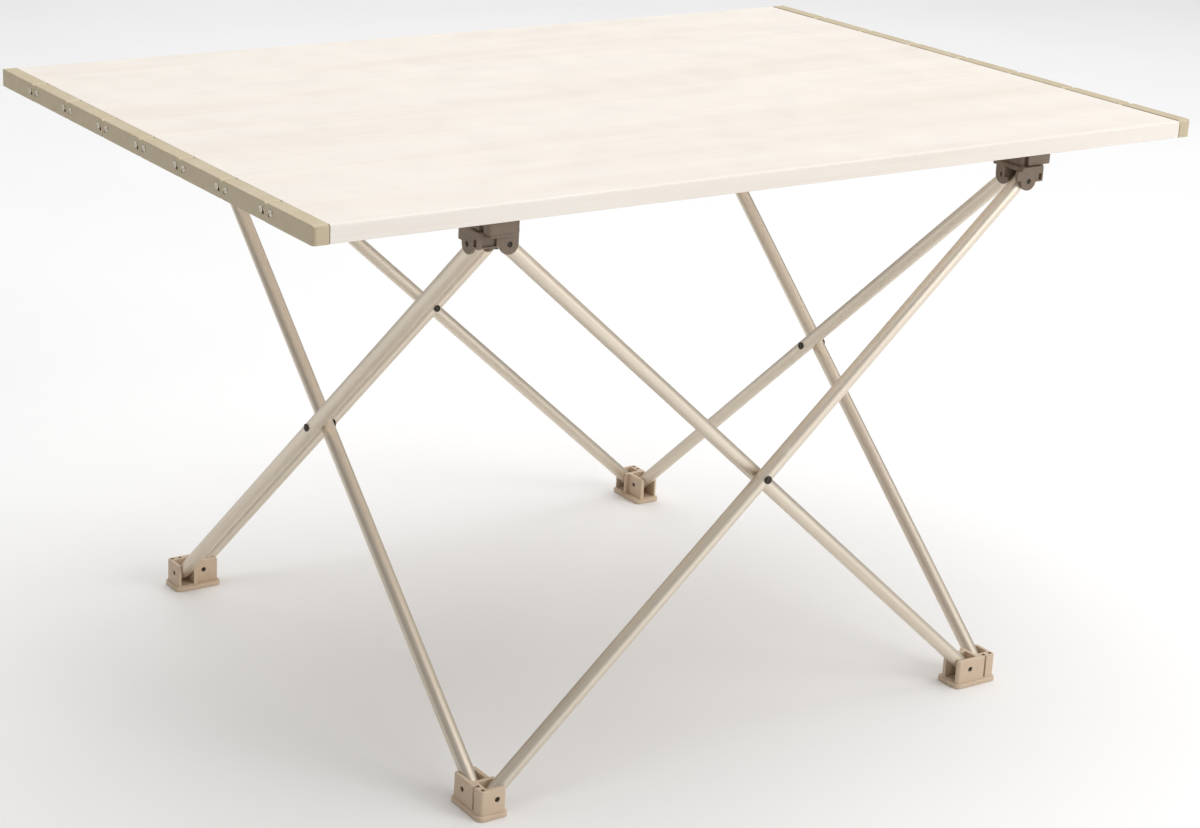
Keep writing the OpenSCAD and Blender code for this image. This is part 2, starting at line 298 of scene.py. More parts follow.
def round_edges(piece: Piece, wanted: Callable[[Vector, Vector], bool], radius: float, steps: int) -> None:
    """Rounds chosen edges of a piece.

    Args:
        piece: The piece to shape.
        wanted: Tells from an edge's two ends whether it is one to round.
        radius: The radius of the rounding.
        steps: How many flats stand for it.
    """
    with editing(piece, "EDGE") as mesh:
        for edge in mesh.edges:
            edge.select_set(wanted(edge.verts[0].co, edge.verts[1].co))
        bmesh.update_edit_mesh(piece.data)
        bpy.ops.mesh.bevel(offset=radius, segments=steps, affect="EDGES", clamp_overlap=True)


def press_in(piece: Piece, wanted: Callable[[Vector, Vector], bool], rim: float, depth: float) -> None:
    """Presses a shallow hollow into chosen flat faces.

    Args:
        piece: The piece to shape.
        wanted: Tells from a face's middle and normal whether it is one to press.
        rim: How much is left round the hollow.
        depth: How deep it is.
    """
    with editing(piece, "FACE") as mesh:
        for face in mesh.faces:
            face.select_set(wanted(face.calc_center_median(), face.normal))
        bmesh.update_edit_mesh(piece.data)
        bpy.ops.mesh.inset(thickness=rim, depth=0, use_individual=True)
        bpy.ops.mesh.inset(thickness=depth / 2, depth=-depth, use_individual=True)


def join_solid(piece: Piece, others: Iterable[Piece], way: Joining) -> Piece:
    """Adds other solids to a piece, or cuts it with them. The others are used up.

    Args:
        piece: The piece that is changed.
        others: The solids to add, to cut away, or to stay inside of.
        way: Which of these it is.

    Returns:
        The changed piece.
    """
    for other in others:
        pick(piece)
        bpy.ops.object.modifier_add(type="BOOLEAN")
        step = piece.modifiers[-1]
        step.operation, step.solver, step.object = way.value, "MANIFOLD", other
        bpy.ops.object.modifier_apply(modifier=step.name)
        bpy.data.objects.remove(other)
    return piece


def tidy_faces(piece: Piece) -> None:
    """Merges doubled points and joins faces that lie in one plane."""
    with editing(piece, "VERT"):
        bpy.ops.mesh.select_all(action="SELECT")
        bpy.ops.mesh.remove_doubles(threshold=0.002 * MM)
        bpy.ops.mesh.dissolve_limited(angle_limit=math.radians(0.5))
        bpy.ops.mesh.normals_make_consistent(inside=False)


def soften(piece: Piece, width: float, steps: int = 2) -> None:
    """Breaks every sharp edge of a solid, before its holes and slots are cut.

    Args:
        piece: The piece to finish.
        width: The width of each broken edge.
        steps: How many flats it has.
    """
    tidy_faces(piece)
    pick(piece)
    bpy.ops.object.modifier_add(type="BEVEL")
    bevel = piece.modifiers[-1]
    bevel.width, bevel.segments = width, steps
    bevel.limit_method, bevel.angle_limit = "ANGLE", SHARP
    bpy.ops.object.modifier_apply(modifier=bevel.name)
    with editing(piece, "VERT"):
        bpy.ops.mesh.select_all(action="SELECT")
        bpy.ops.mesh.remove_doubles(threshold=SAME)
        bpy.ops.mesh.dissolve_degenerate(threshold=0.005 * MM)
        bpy.ops.mesh.normals_make_consistent(inside=False)


def shade(piece: Piece) -> None:
    """Sets a finished solid's shading, with smooth rounds and crisp flats.

    Args:
        piece: The piece to finish.
    """
    pick(piece)
    bpy.ops.object.shade_smooth_by_angle(angle=SHARP)
    bpy.ops.object.modifier_add(type="WEIGHTED_NORMAL")
    weighting = piece.modifiers[-1]
    weighting.keep_sharp = True
    bpy.ops.object.modifier_apply(modifier=weighting.name)


def copy_of(piece: Piece, move: Matrix) -> Piece:
    """Copies a piece with its own mesh.

    Args:
        piece: The piece to copy.
        move: Where the copy goes. A mirroring move keeps its faces outward.

    Returns:
        The copy, with its place in its mesh.
    """
    twin = piece.copy()
    twin.data = piece.data.copy()
    twin.data.transform(move)
    if move.determinant() < 0:
        twin.data.flip_normals()
    bpy.context.scene.collection.objects.link(twin)
    return twin


def joined(pieces: list[Piece]) -> Piece:
    """Joins separate solids into one piece."""
    pick(*pieces)
    bpy.ops.object.join()
    return bpy.context.object


def mirror(axis: int) -> Matrix:
    """The mirror image in the plane across one axis."""
    return Matrix.Diagonal([-1 if k == axis else 1 for k in range(3)] + [1])


def mirrored_pair(piece: Piece) -> Piece:
    """Joins a piece with its mirror image at the other end of the table."""
    return joined([piece, copy_of(piece, mirror(0))])


def remove(*pieces: Piece) -> None:
    """Takes a pattern piece off the bench once its copies are made."""
    for piece in pieces:
        bpy.data.objects.remove(piece)


def swapped(low: Point, high: Point) -> tuple[Point, Point]:
    """A box with its X and Y swapped, for the second clevis of a corner."""
    return (low[1], low[0], low[2]), (high[1], high[0], high[2])


def lozenge(path: list[tuple[float, float]], x_low: float, x_high: float, radius: float) -> Piece:
    """Makes a plate with round ends that follows a path across the table's end.

    Args:
        path: Its middle line, as Y and Z.
        x_low: Where its thickness begins.
        x_high: Where its thickness ends.
        radius: Half its width.

    Returns:
        The plate, as one closed solid.
    """
    rounds = [bar((x_low, y, z), (x_high, y, z), radius) for y, z in path]
    straights = []
    for (y0, z0), (y1, z1) in zip(path, path[1:]):
        straight = block((x_low, 0, -radius), (x_high, math.hypot(y1 - y0, z1 - z0), radius))
        turn = Matrix.Rotation(math.atan2(z1 - z0, y1 - y0), 4, "X")
        straight.data.transform(Matrix.Translation((0, y0, z0)) @ turn)
        straights.append(straight)
    return join_solid(rounds[0], rounds[1:] + straights, Joining.ADD)


# --- Finishes ------------------------------------------------------------------------------


def tone(red: float, green: float, blue: float) -> Colour:
    """A colour given as a paint chart shows it, turned into light values."""
    return tuple(c / 12.92 if c <= 0.04045 else ((c + 0.055) / 1.055) ** 2.4 for c in (red, green, blue))


class Wiring:
    """A node tree while it is being wired."""

    def __init__(self, tree: bpy.types.NodeTree) -> None:
        """Starts on a tree."""
        self.tree = tree

    def add(self, kind: str, **settings: object) -> bpy.types.Node:
        """Adds a node.

        Args:
            kind: Its type.
            **settings: Its own properties.

        Returns:
            The node.
        """
        node = self.tree.nodes.new(kind)
        for name, value in settings.items():
            setattr(node, name, value)
        return node

    def wire(self, source: bpy.types.NodeSocket, target: bpy.types.NodeSocket) -> None:
        """Joins an output to an input."""
        self.tree.links.new(source, target)

    def place(self, group: bpy.types.NodeTree, vector: bpy.types.NodeSocket | None = None,
              **values: float) -> bpy.types.NodeSocket:
        """Places a shared group and sets its values.

        Args:
            group: The group.
            vector: What its Vector input reads, if it has one.
            **values: Its other inputs.

        Returns:
            The group's output.
        """
        node = self.add("ShaderNodeGroup", node_tree=group)
        for name, value in values.items():
            node.inputs[name].default_value = value
        if vector is not None:
            self.wire(vector, node.inputs["Vector"])
        return node.outputs[0]

    def noise(self, vector: bpy.types.NodeSocket, scale: float, detail: float = 3) -> bpy.types.NodeSocket:
        """Adds a noise pattern with a scale in cycles per metre."""
        node = self.add("ShaderNodeTexNoise")
        node.inputs["Scale"].default_value = scale
        node.inputs["Detail"].default_value = detail
        self.wire(vector, node.inputs["Vector"])
        return node.outputs["Fac"]

    def remap(self, value: bpy.types.NodeSocket, low: float, high: float,
              to_low: float = 0, to_high: float = 1) -> bpy.types.NodeSocket:
        """Stretches part of a value's range over another range."""
        node = self.add("ShaderNodeMapRange")
        for name, number in zip(("From Min", "From Max", "To Min", "To Max"), (low, high, to_low, to_high)):
            node.inputs[name].default_value = number
        self.wire(value, node.inputs["Value"])
        return node.outputs["Result"]

    def maths(self, way: str, first: bpy.types.NodeSocket,
              second: bpy.types.NodeSocket | float) -> bpy.types.NodeSocket:
        """Adds a sum, a product or another operation on two values."""
        node = self.add("ShaderNodeMath", operation=way)
        self.wire(first, node.inputs[0])
        if isinstance(second, bpy.types.NodeSocket):
            self.wire(second, node.inputs[1])
        else:
            node.inputs[1].default_value = second
        return node.outputs[0]

    def mix(self, share: bpy.types.NodeSocket, first: bpy.types.NodeSocket | Colour,
            second: Colour) -> bpy.types.NodeSocket:
        """Mixes two colours.

        Args:
            share: How much of the second colour shows.
            first: The first colour, or the output that it comes from.
            second: The second colour.

        Returns:
            The mixed colour.
        """
        node = self.add("ShaderNodeMix", data_type="RGBA")
        self.wire(share, node.inputs[0])
        if isinstance(first, bpy.types.NodeSocket):
            self.wire(first, node.inputs[6])
        else:
            node.inputs[6].default_value = (*first, 1)
        node.inputs[7].default_value = (*second, 1)
        return node.outputs[2]

    def bump(self, height: bpy.types.NodeSocket, shader: bpy.types.Node, depth: float,
             strength: float) -> None:
        """Raises the surface by a height pattern of a depth in metres."""
        node = self.add("ShaderNodeBump")
        node.inputs["Strength"].default_value = strength
        node.inputs["Distance"].default_value = depth
        self.wire(height, node.inputs["Height"])
        self.wire(node.outputs["Normal"], shader.inputs["Normal"])


def new_group(name: str, inputs: dict[str, float | None], output: str) -> tuple[bpy.types.NodeTree, dict]:
    """Starts a shared shader group.

    Args:
        name: The group's name.
        inputs: Its inputs with their first values. None makes a vector.
        output: The name of its one output, which is a value.

    Returns:
        The group, and its wiring, its input node and its output node by name.
    """
    group = bpy.data.node_groups.new(name, "ShaderNodeTree")
    for label, first in inputs.items():
        kind = "NodeSocketVector" if first is None else "NodeSocketFloat"
        socket = group.interface.new_socket(label, in_out="INPUT", socket_type=kind)
        if first is not None:
            socket.default_value = first
    group.interface.new_socket(output, in_out="OUTPUT", socket_type="NodeSocketFloat")
    wiring = Wiring(group)
    return group, {
        "wiring": wiring,
        "given": wiring.add("NodeGroupInput").outputs,
        "result": wiring.add("NodeGroupOutput").inputs[output],
    }


def draw_lines_group() -> bpy.types.NodeTree:
    """Makes the group for lines drawn out along X, as on an extruded or drawn metal."""
    group, parts = new_group("Draw lines", {"Vector": None, "Along": 4, "Across": 400}, "Lines")
    wiring, given = parts["wiring"], parts["given"]
    stretch = wiring.add("ShaderNodeCombineXYZ")
    wiring.wire(given["Along"], stretch.inputs[0])
    wiring.wire(given["Across"], stretch.inputs[1])
    wiring.wire(given["Across"], stretch.inputs[2])
    drawn = wiring.add("ShaderNodeVectorMath", operation="MULTIPLY")
    wiring.wire(given["Vector"], drawn.inputs[0])
    wiring.wire(stretch.outputs[0], drawn.inputs[1])
    wiring.wire(wiring.noise(drawn.outputs[0], 1, 4), parts["result"])
    return group


def edge_wear_group() -> bpy.types.NodeTree:
    """Makes the group that finds edges which hands and sand have rubbed."""
    group, parts = new_group("Edge wear", {"Vector": None, "Radius": 0.0006, "Patches": 90}, "Wear")
    wiring, given = parts["wiring"], parts["given"]
    rounded = wiring.add("ShaderNodeBevel", samples=4)
    wiring.wire(given["Radius"], rounded.inputs["Radius"])
    flat = wiring.add("ShaderNodeNewGeometry")
    agreement = wiring.add("ShaderNodeVectorMath", operation="DOT_PRODUCT")
    wiring.wire(rounded.outputs[0], agreement.inputs[0])
    wiring.wire(flat.outputs["Normal"], agreement.inputs[1])
    edge = wiring.remap(agreement.outputs["Value"], 0.99, 0.86)
    patches = wiring.add("ShaderNodeTexNoise")
    wiring.wire(given["Vector"], patches.inputs["Vector"])
    wiring.wire(given["Patches"], patches.inputs["Scale"])
    worn = wiring.remap(patches.outputs["Fac"], 0.38, 0.62)
    wiring.wire(wiring.maths("MULTIPLY", edge, worn), parts["result"])
    return group


def speckle_group() -> bpy.types.NodeTree:
    """Makes the group for a fine, even texture, such as a moulding's or a powder coat's."""
    group, parts = new_group("Speckle", {"Vector": None, "Fine": 2500, "Coarse": 700}, "Height")
    wiring, given = parts["wiring"], parts["given"]
    heights = []
    for size in ("Fine", "Coarse"):
        noise = wiring.add("ShaderNodeTexNoise")
        wiring.wire(given["Vector"], noise.inputs["Vector"])
        wiring.wire(given[size], noise.inputs["Scale"])
        heights.append(noise.outputs["Fac"])
    wiring.wire(wiring.maths("ADD", *heights), parts["result"])
    return group


def dust_group() -> bpy.types.NodeTree:
    """Makes the group for dust that settles on faces which look upward."""
    group, parts = new_group("Settled dust", {"Vector": None, "Patches": 45}, "Dust")
    wiring, given = parts["wiring"], parts["given"]
    facing = wiring.add("ShaderNodeSeparateXYZ")
    wiring.wire(wiring.add("ShaderNodeNewGeometry").outputs["Normal"], facing.inputs[0])
    upward = wiring.remap(facing.outputs["Z"], 0.2, 0.9)
    patches = wiring.add("ShaderNodeTexNoise")
    wiring.wire(given["Vector"], patches.inputs["Vector"])
    wiring.wire(given["Patches"], patches.inputs["Scale"])
    settled = wiring.remap(patches.outputs["Fac"], 0.4, 0.7)
    wiring.wire(wiring.maths("MULTIPLY", upward, settled), parts["result"])
    return group


DRAW_LINES = draw_lines_group()
EDGE_WEAR = edge_wear_group()
SPECKLE = speckle_group()
DUST = dust_group()


@dataclass(frozen=True)
class Finish:
    """What every finish has.

    Attributes:
        name: The material's name.
        slot: The record's material slot. Not used.
        colour: Its main colour.
        second: The colour of its grain, wear or dust.
        smooth: Roughness where it is smoothest.
        rough: Roughness where it is roughest.
        metallic: 0 for plastic and paint, 1 for bare metal.
    """

    name: str
    slot: str
    colour: Colour
    second: Colour
    smooth: float
    rough: float
    metallic: float = 0.0

    def material(self) -> bpy.types.Material:
        """Gives the finish's material, which is made once."""
        known = bpy.data.materials.get(self.name)
        if known:
            return known
        made = bpy.data.materials.new(self.name)
        made.use_nodes = True
        shader = made.node_tree.nodes["Principled BSDF"]
        shader.inputs["Metallic"].default_value = self.metallic
        self.paint(Wiring(made.node_tree), shader)
        return made

    def paint(self, wiring: Wiring, shader: bpy.types.Node) -> None:
        """Wires what changes over the surface. Each kind of finish has its own."""
        raise NotImplementedError


@dataclass(frozen=True)
class PowderCoat(Finish):
    """A matt coat over extruded metal, with a faint wood-like grain along it.

    Attributes:
        grain_share: How strongly the grain shows.
    """

    grain_share: float = 0.3

    def paint(self, wiring: Wiring, shader: bpy.types.Node) -> None:
        """Wires the coat's grain, its fine texture and its uneven gloss."""
        places = wiring.add("ShaderNodeTexCoord").outputs["Object"]
        broad = wiring.place(DRAW_LINES, places, Along=2.4, Across=34)
        fine = wiring.place(DRAW_LINES, places, Along=9, Across=520)
        grain = wiring.maths("ADD", wiring.remap(broad, 0.45, 0.75), wiring.remap(fine, 0.5, 0.8, 0, 0.6))
        shown = wiring.maths("MULTIPLY", grain, self.grain_share)
        wear = wiring.maths("MULTIPLY", wiring.place(EDGE_WEAR, places, Radius=0.0005, Patches=60), 0.25)
        coat = wiring.mix(shown, self.colour, self.second)
        wiring.wire(wiring.mix(wear, coat, tone(0.97, 0.96, 0.94)), shader.inputs["Base Color"])
        gloss = wiring.noise(places, 30)
        wiring.wire(wiring.remap(gloss, 0.3, 0.7, self.smooth, self.rough), shader.inputs["Roughness"])
        texture = wiring.place(SPECKLE, places, Fine=2600, Coarse=900)
        wiring.bump(wiring.maths("ADD", texture, wiring.maths("MULTIPLY", fine, 0.6)), shader, 0.00003, 0.35)


@dataclass(frozen=True)
class MouldedNylon(Finish):
    """A moulded plastic with a spark-eroded texture, rubbed edges and settled dust.

    Attributes:
        wear_share: How strongly rubbed edges show.
        dust_share: How strongly dust shows.
        texture: Depth of the texture.
    """

    wear_share: float = 0.5
    dust_share: float = 0.2
    texture: float = 0.00004

    def paint(self, wiring: Wiring, shader: bpy.types.Node) -> None:
        """Wires the plastic's mottling, texture, wear and dust."""
        places = wiring.add("ShaderNodeTexCoord").outputs["Object"]
        mottle = wiring.remap(wiring.noise(places, 140, 5), 0.35, 0.75, 0, 0.22)
        body = wiring.mix(mottle, self.colour, tuple(0.72 * c for c in self.colour))
        wear = wiring.maths("MULTIPLY", wiring.place(EDGE_WEAR, places, Radius=0.0007), self.wear_share)
        dust = wiring.maths("MULTIPLY", wiring.place(DUST, places), self.dust_share)
        worn = wiring.mix(wear, body, self.second)
        wiring.wire(wiring.mix(dust, worn, tone(0.86, 0.83, 0.77)), shader.inputs["Base Color"])
        gloss = wiring.maths("SUBTRACT", wiring.remap(wiring.noise(places, 220), 0.3, 0.7, self.smooth,
                                                      self.rough), wiring.maths("MULTIPLY", wear, 0.15))
        wiring.wire(gloss, shader.inputs["Roughness"])
        wiring.bump(wiring.place(SPECKLE, places, Fine=3200, Coarse=1100), shader, self.texture, 0.5)


@dataclass(frozen=True)
class AnodisedTube(Finish):
    """Satin anodised tube, with draw lines along it and faint scuffs from folding."""

    def paint(self, wiring: Wiring, shader: bpy.types.Node) -> None:
        """Wires the draw lines, which follow each tube by its own lengthwise place."""
        places = wiring.add("ShaderNodeAttribute", attribute_name=LENGTHWISE).outputs["Vector"]
        lines = wiring.place(DRAW_LINES, places, Along=3, Across=1500)
        bands = wiring.place(DRAW_LINES, places, Along=7, Across=120)
        scuffs = wiring.remap(wiring.noise(places, 75, 6), 0.62, 0.78, 0, 0.5)
        drawn = wiring.mix(wiring.remap(lines, 0.35, 0.7, 0, 0.5), self.colour, self.second)
        toned = wiring.mix(wiring.remap(bands, 0.45, 0.7, 0, 0.3), drawn, tuple(0.8 * c for c in self.colour))
        wiring.wire(wiring.mix(scuffs, toned, tone(0.88, 0.86, 0.82)), shader.inputs["Base Color"])
        rough = wiring.maths("ADD", wiring.remap(bands, 0.3, 0.7, self.smooth, self.rough),
                             wiring.maths("MULTIPLY", scuffs, 0.15))
        wiring.wire(rough, shader.inputs["Roughness"])
        wiring.bump(lines, shader, 0.00002, 0.3)


@dataclass(frozen=True)
class PinMetal(Finish):
    """Turned or pressed metal of links, pins and rivets, with small dents and rubbed edges."""

    def paint(self, wiring: Wiring, shader: bpy.types.Node) -> None:
        """Wires the metal's stains, dents and bright edges."""
        places = wiring.add("ShaderNodeTexCoord").outputs["Object"]
        stains = wiring.remap(wiring.noise(places, 420, 5), 0.4, 0.75, 0, 0.45)
        body = wiring.mix(stains, self.colour, tuple(0.6 * c for c in self.colour))
        wear = wiring.place(EDGE_WEAR, places, Radius=0.0003, Patches=300)
        wiring.wire(wiring.mix(wear, body, self.second), shader.inputs["Base Color"])
        wiring.wire(wiring.remap(wiring.noise(places, 900), 0.3, 0.7, self.smooth, self.rough),
                    shader.inputs["Roughness"])
        wiring.bump(wiring.place(SPECKLE, places, Fine=5200, Coarse=1800), shader, 0.00002, 0.4)


CREAM_COAT = PowderCoat(
    "cream_powder_coat", "slat_skin", tone(0.945, 0.915, 0.88), tone(0.87, 0.80, 0.73), 0.42, 0.55)
CAP_NYLON = MouldedNylon(
    "champagne_cap_nylon", "cap_plastic", tone(0.78, 0.72, 0.60), tone(0.92, 0.88, 0.80), 0.42, 0.56)
# The same plastic as the caps and feet; its darker base colour is painted shade, for the shadow that the top
# casts on the hubs and brackets.
HUB_NYLON_PAINTED_SHADE = MouldedNylon(
    "taupe_hub_nylon", "hub_plastic", tone(0.47, 0.405, 0.34), tone(0.70, 0.62, 0.52), 0.45, 0.6)
FOOT_NYLON = MouldedNylon(
    "khaki_foot_nylon", "foot_plastic", tone(0.82, 0.73, 0.63), tone(0.93, 0.88, 0.80), 0.45, 0.62,
    dust_share=0.35)
LEG_METAL = AnodisedTube(
    "champagne_anodised_tube", "leg_tube", tone(0.86, 0.81, 0.74), tone(0.93, 0.90, 0.85), 0.36, 0.48,
    metallic=0.85)
LINK_METAL = PinMetal(
    "bright_link_metal", "bright_metal", tone(0.86, 0.83, 0.77), tone(0.96, 0.95, 0.92), 0.28, 0.42,
    metallic=1.0)
DARK_STEEL = PinMetal(
    "blackened_pin_steel", "dark_pin", tone(0.27, 0.25, 0.23), tone(0.55, 0.52, 0.48), 0.35, 0.5,
    metallic=0.9)


# --- Sub-assemblies ------------------------------------------------------------------------

NODE_BODY = {node: body for body, nodes in frame["record"]["behaviour"]["bodies"].items() for node in nodes}


@dataclass
class SubAssembly:
    """What every sub-assembly shares.

    Attributes:
        plan: The table's main sizes.
    """

    plan: Plan

    def fit(self, piece: Piece, name: str, node: str, finish: Finish) -> Piece:
        """Dresses a finished piece and sets it on the body that holds its node.

        Args:
            piece: The piece, in its place.
            name: Its name.
            node: The plain node that it stands for.
            finish: Its finish.

        Returns:
            The piece.
        """
        piece.name = piece.data.name = name
        shade(piece)
        piece.data.materials.clear()
        piece.data.materials.append(finish.material())
        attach(piece, NODE_BODY[node])
        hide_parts(node)
        LOG.info("%s: %d faces on %s", name, len(piece.data.polygons), NODE_BODY[node])
        return piece

    def lay_row(self, outer: Piece, inner: Piece, word: str, node: str, finish: Finish) -> None:
        """Lays a row of eight from the front to the rear, and uses up both patterns.

        Args:
            outer: The first one, whose mirror image is the last.
            inner: The second one, whose copies are the others.
            word: The start of their names.
            node: The start of their nodes' names.
            finish: Their finish.
        """
        for number in range(1, self.plan.slats + 1):
            if number == 1:
                copy = copy_of(outer, Matrix())
            elif number == self.plan.slats:
                copy = copy_of(outer, mirror(1))
            else:
                copy = copy_of(inner, Matrix.Translation((0, (number - 2) * self.plan.pitch, 0)))
            self.fit(copy, f"{word}_{number}", f"{node}_{number}", finish)
        remove(inner, outer)


@dataclass
class SlatSkins(SubAssembly):
    """The eight hollow slats.

    Attributes:
        seam_round: Rounding of an upper edge at a seam.
        outer_round: Rounding of the upper edge of the first and last slat.
        low_round: Rounding of the lower edges.
        wall: Thickness of the hollow slat's wall.
        shoulder: Size of the slope in the upper corners of a hollow.
        groove_w: Width of the two grooves along the underside.
        groove_depth: Depth of those grooves.
        groove_y: Their distance from the slat's middle line.
        lug_r: Radius of the holes for the brackets' lugs.
        lug_places: Where those holes are, from the frame's corner.
        seam_wall: How much thicker than the others the wall at a seam is.
        rim: Width of the broken edges.
    """

    seam_round: float = 0.2 * MM
    outer_round: float = 1.4 * MM
    low_round: float = 0.9 * MM
    wall: float = 0.9 * MM
    shoulder: float = 2.4 * MM
    groove_w: float = 1.5 * MM
    groove_depth: float = 0.4 * MM
    groove_y: float = 15 * MM
    lug_r: float = 2.95 * MM
    lug_places: tuple[tuple[float, float], ...] = ((-5 * MM, 3.25 * MM), (9 * MM, 3.25 * MM))
    seam_wall: float = 0.5 * MM
    rim: float = 0.12 * MM

    def blank(self, low: Vector, high: Vector, free_side: bool) -> Piece:
        """Makes one slat.

        Args:
            low: The lowest corner of its box.
            high: The highest corner of its box.
            free_side: Whether its front edge has no neighbour.

        Returns:
            The slat.
        """
        slat = block(low, high)
        seams = [high.y] if free_side else [low.y, high.y]
        round_edges(slat, lambda a, b: lies_along(0, a, b) and near(a.z, low.z), self.low_round, 3)
        round_edges(slat, lambda a, b: lies_along(0, a, b) and near(a.z, high.z)
                    and any(near(a.y, y) for y in seams), self.seam_round, 2)
        if free_side:
            round_edges(slat, lambda a, b: lies_along(0, a, b) and near(a.z, high.z) and near(a.y, low.y),
                        self.outer_round, 5)
        soften(slat, self.rim)
        middle = (low.y + high.y) / 2
        join_solid(slat, [self.cell(side, middle, low, high) for side in (-1, 1)], Joining.CUT)
        grooves = [
            block((low.x - CUT, y - self.groove_w / 2, low.z - CUT),
                  (high.x + CUT, y + self.groove_w / 2, low.z + self.groove_depth))
            for y in (middle - self.groove_y, middle + self.groove_y)
        ]
        return join_solid(slat, grooves, Joining.CUT)

    def cell(self, side: int, middle: float, low: Vector, high: Vector) -> Piece:
        """Makes the hollow on one side of a slat's middle rib.

        Args:
            side: -1 for the front one, 1 for the rear one.
            middle: The slat's middle line.
            low: The lowest corner of the slat's box.
            high: The highest corner of the slat's box.

        Returns:
            The solid that is cut away.
        """
        reach = (high.y - low.y) / 2 - self.wall - self.seam_wall
        ends = sorted((middle + side * self.wall / 2, middle + side * reach))
        outer, top = middle + side * reach, high.z - self.wall
        hollow = block((low.x - CUT, ends[0], low.z + self.wall), (high.x + CUT, ends[1], top))
        round_edges(hollow, lambda a, b: lies_along(0, a, b) and near(a.y, outer) and near(a.z, top),
                    self.shoulder, 1)
        return hollow

    def build(self) -> None:
        """Makes the slats and sets them on the frame."""
        low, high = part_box("slat_2")
        inner = self.blank(low, high, False)
        outer = self.blank(*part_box("slat_1"), True)
        half = self.plan.half
        middles = [(side * (half - x), y - half) for x, y in self.lug_places for side in (-1, 1)]
        holes = [bar((x, y, low.z - CUT), (x, y, low.z + 2 * CUT), self.lug_r) for x, y in middles]
        join_solid(outer, holes, Joining.CUT)
        self.lay_row(outer, inner, "slat_skin", "slat", CREAM_COAT)


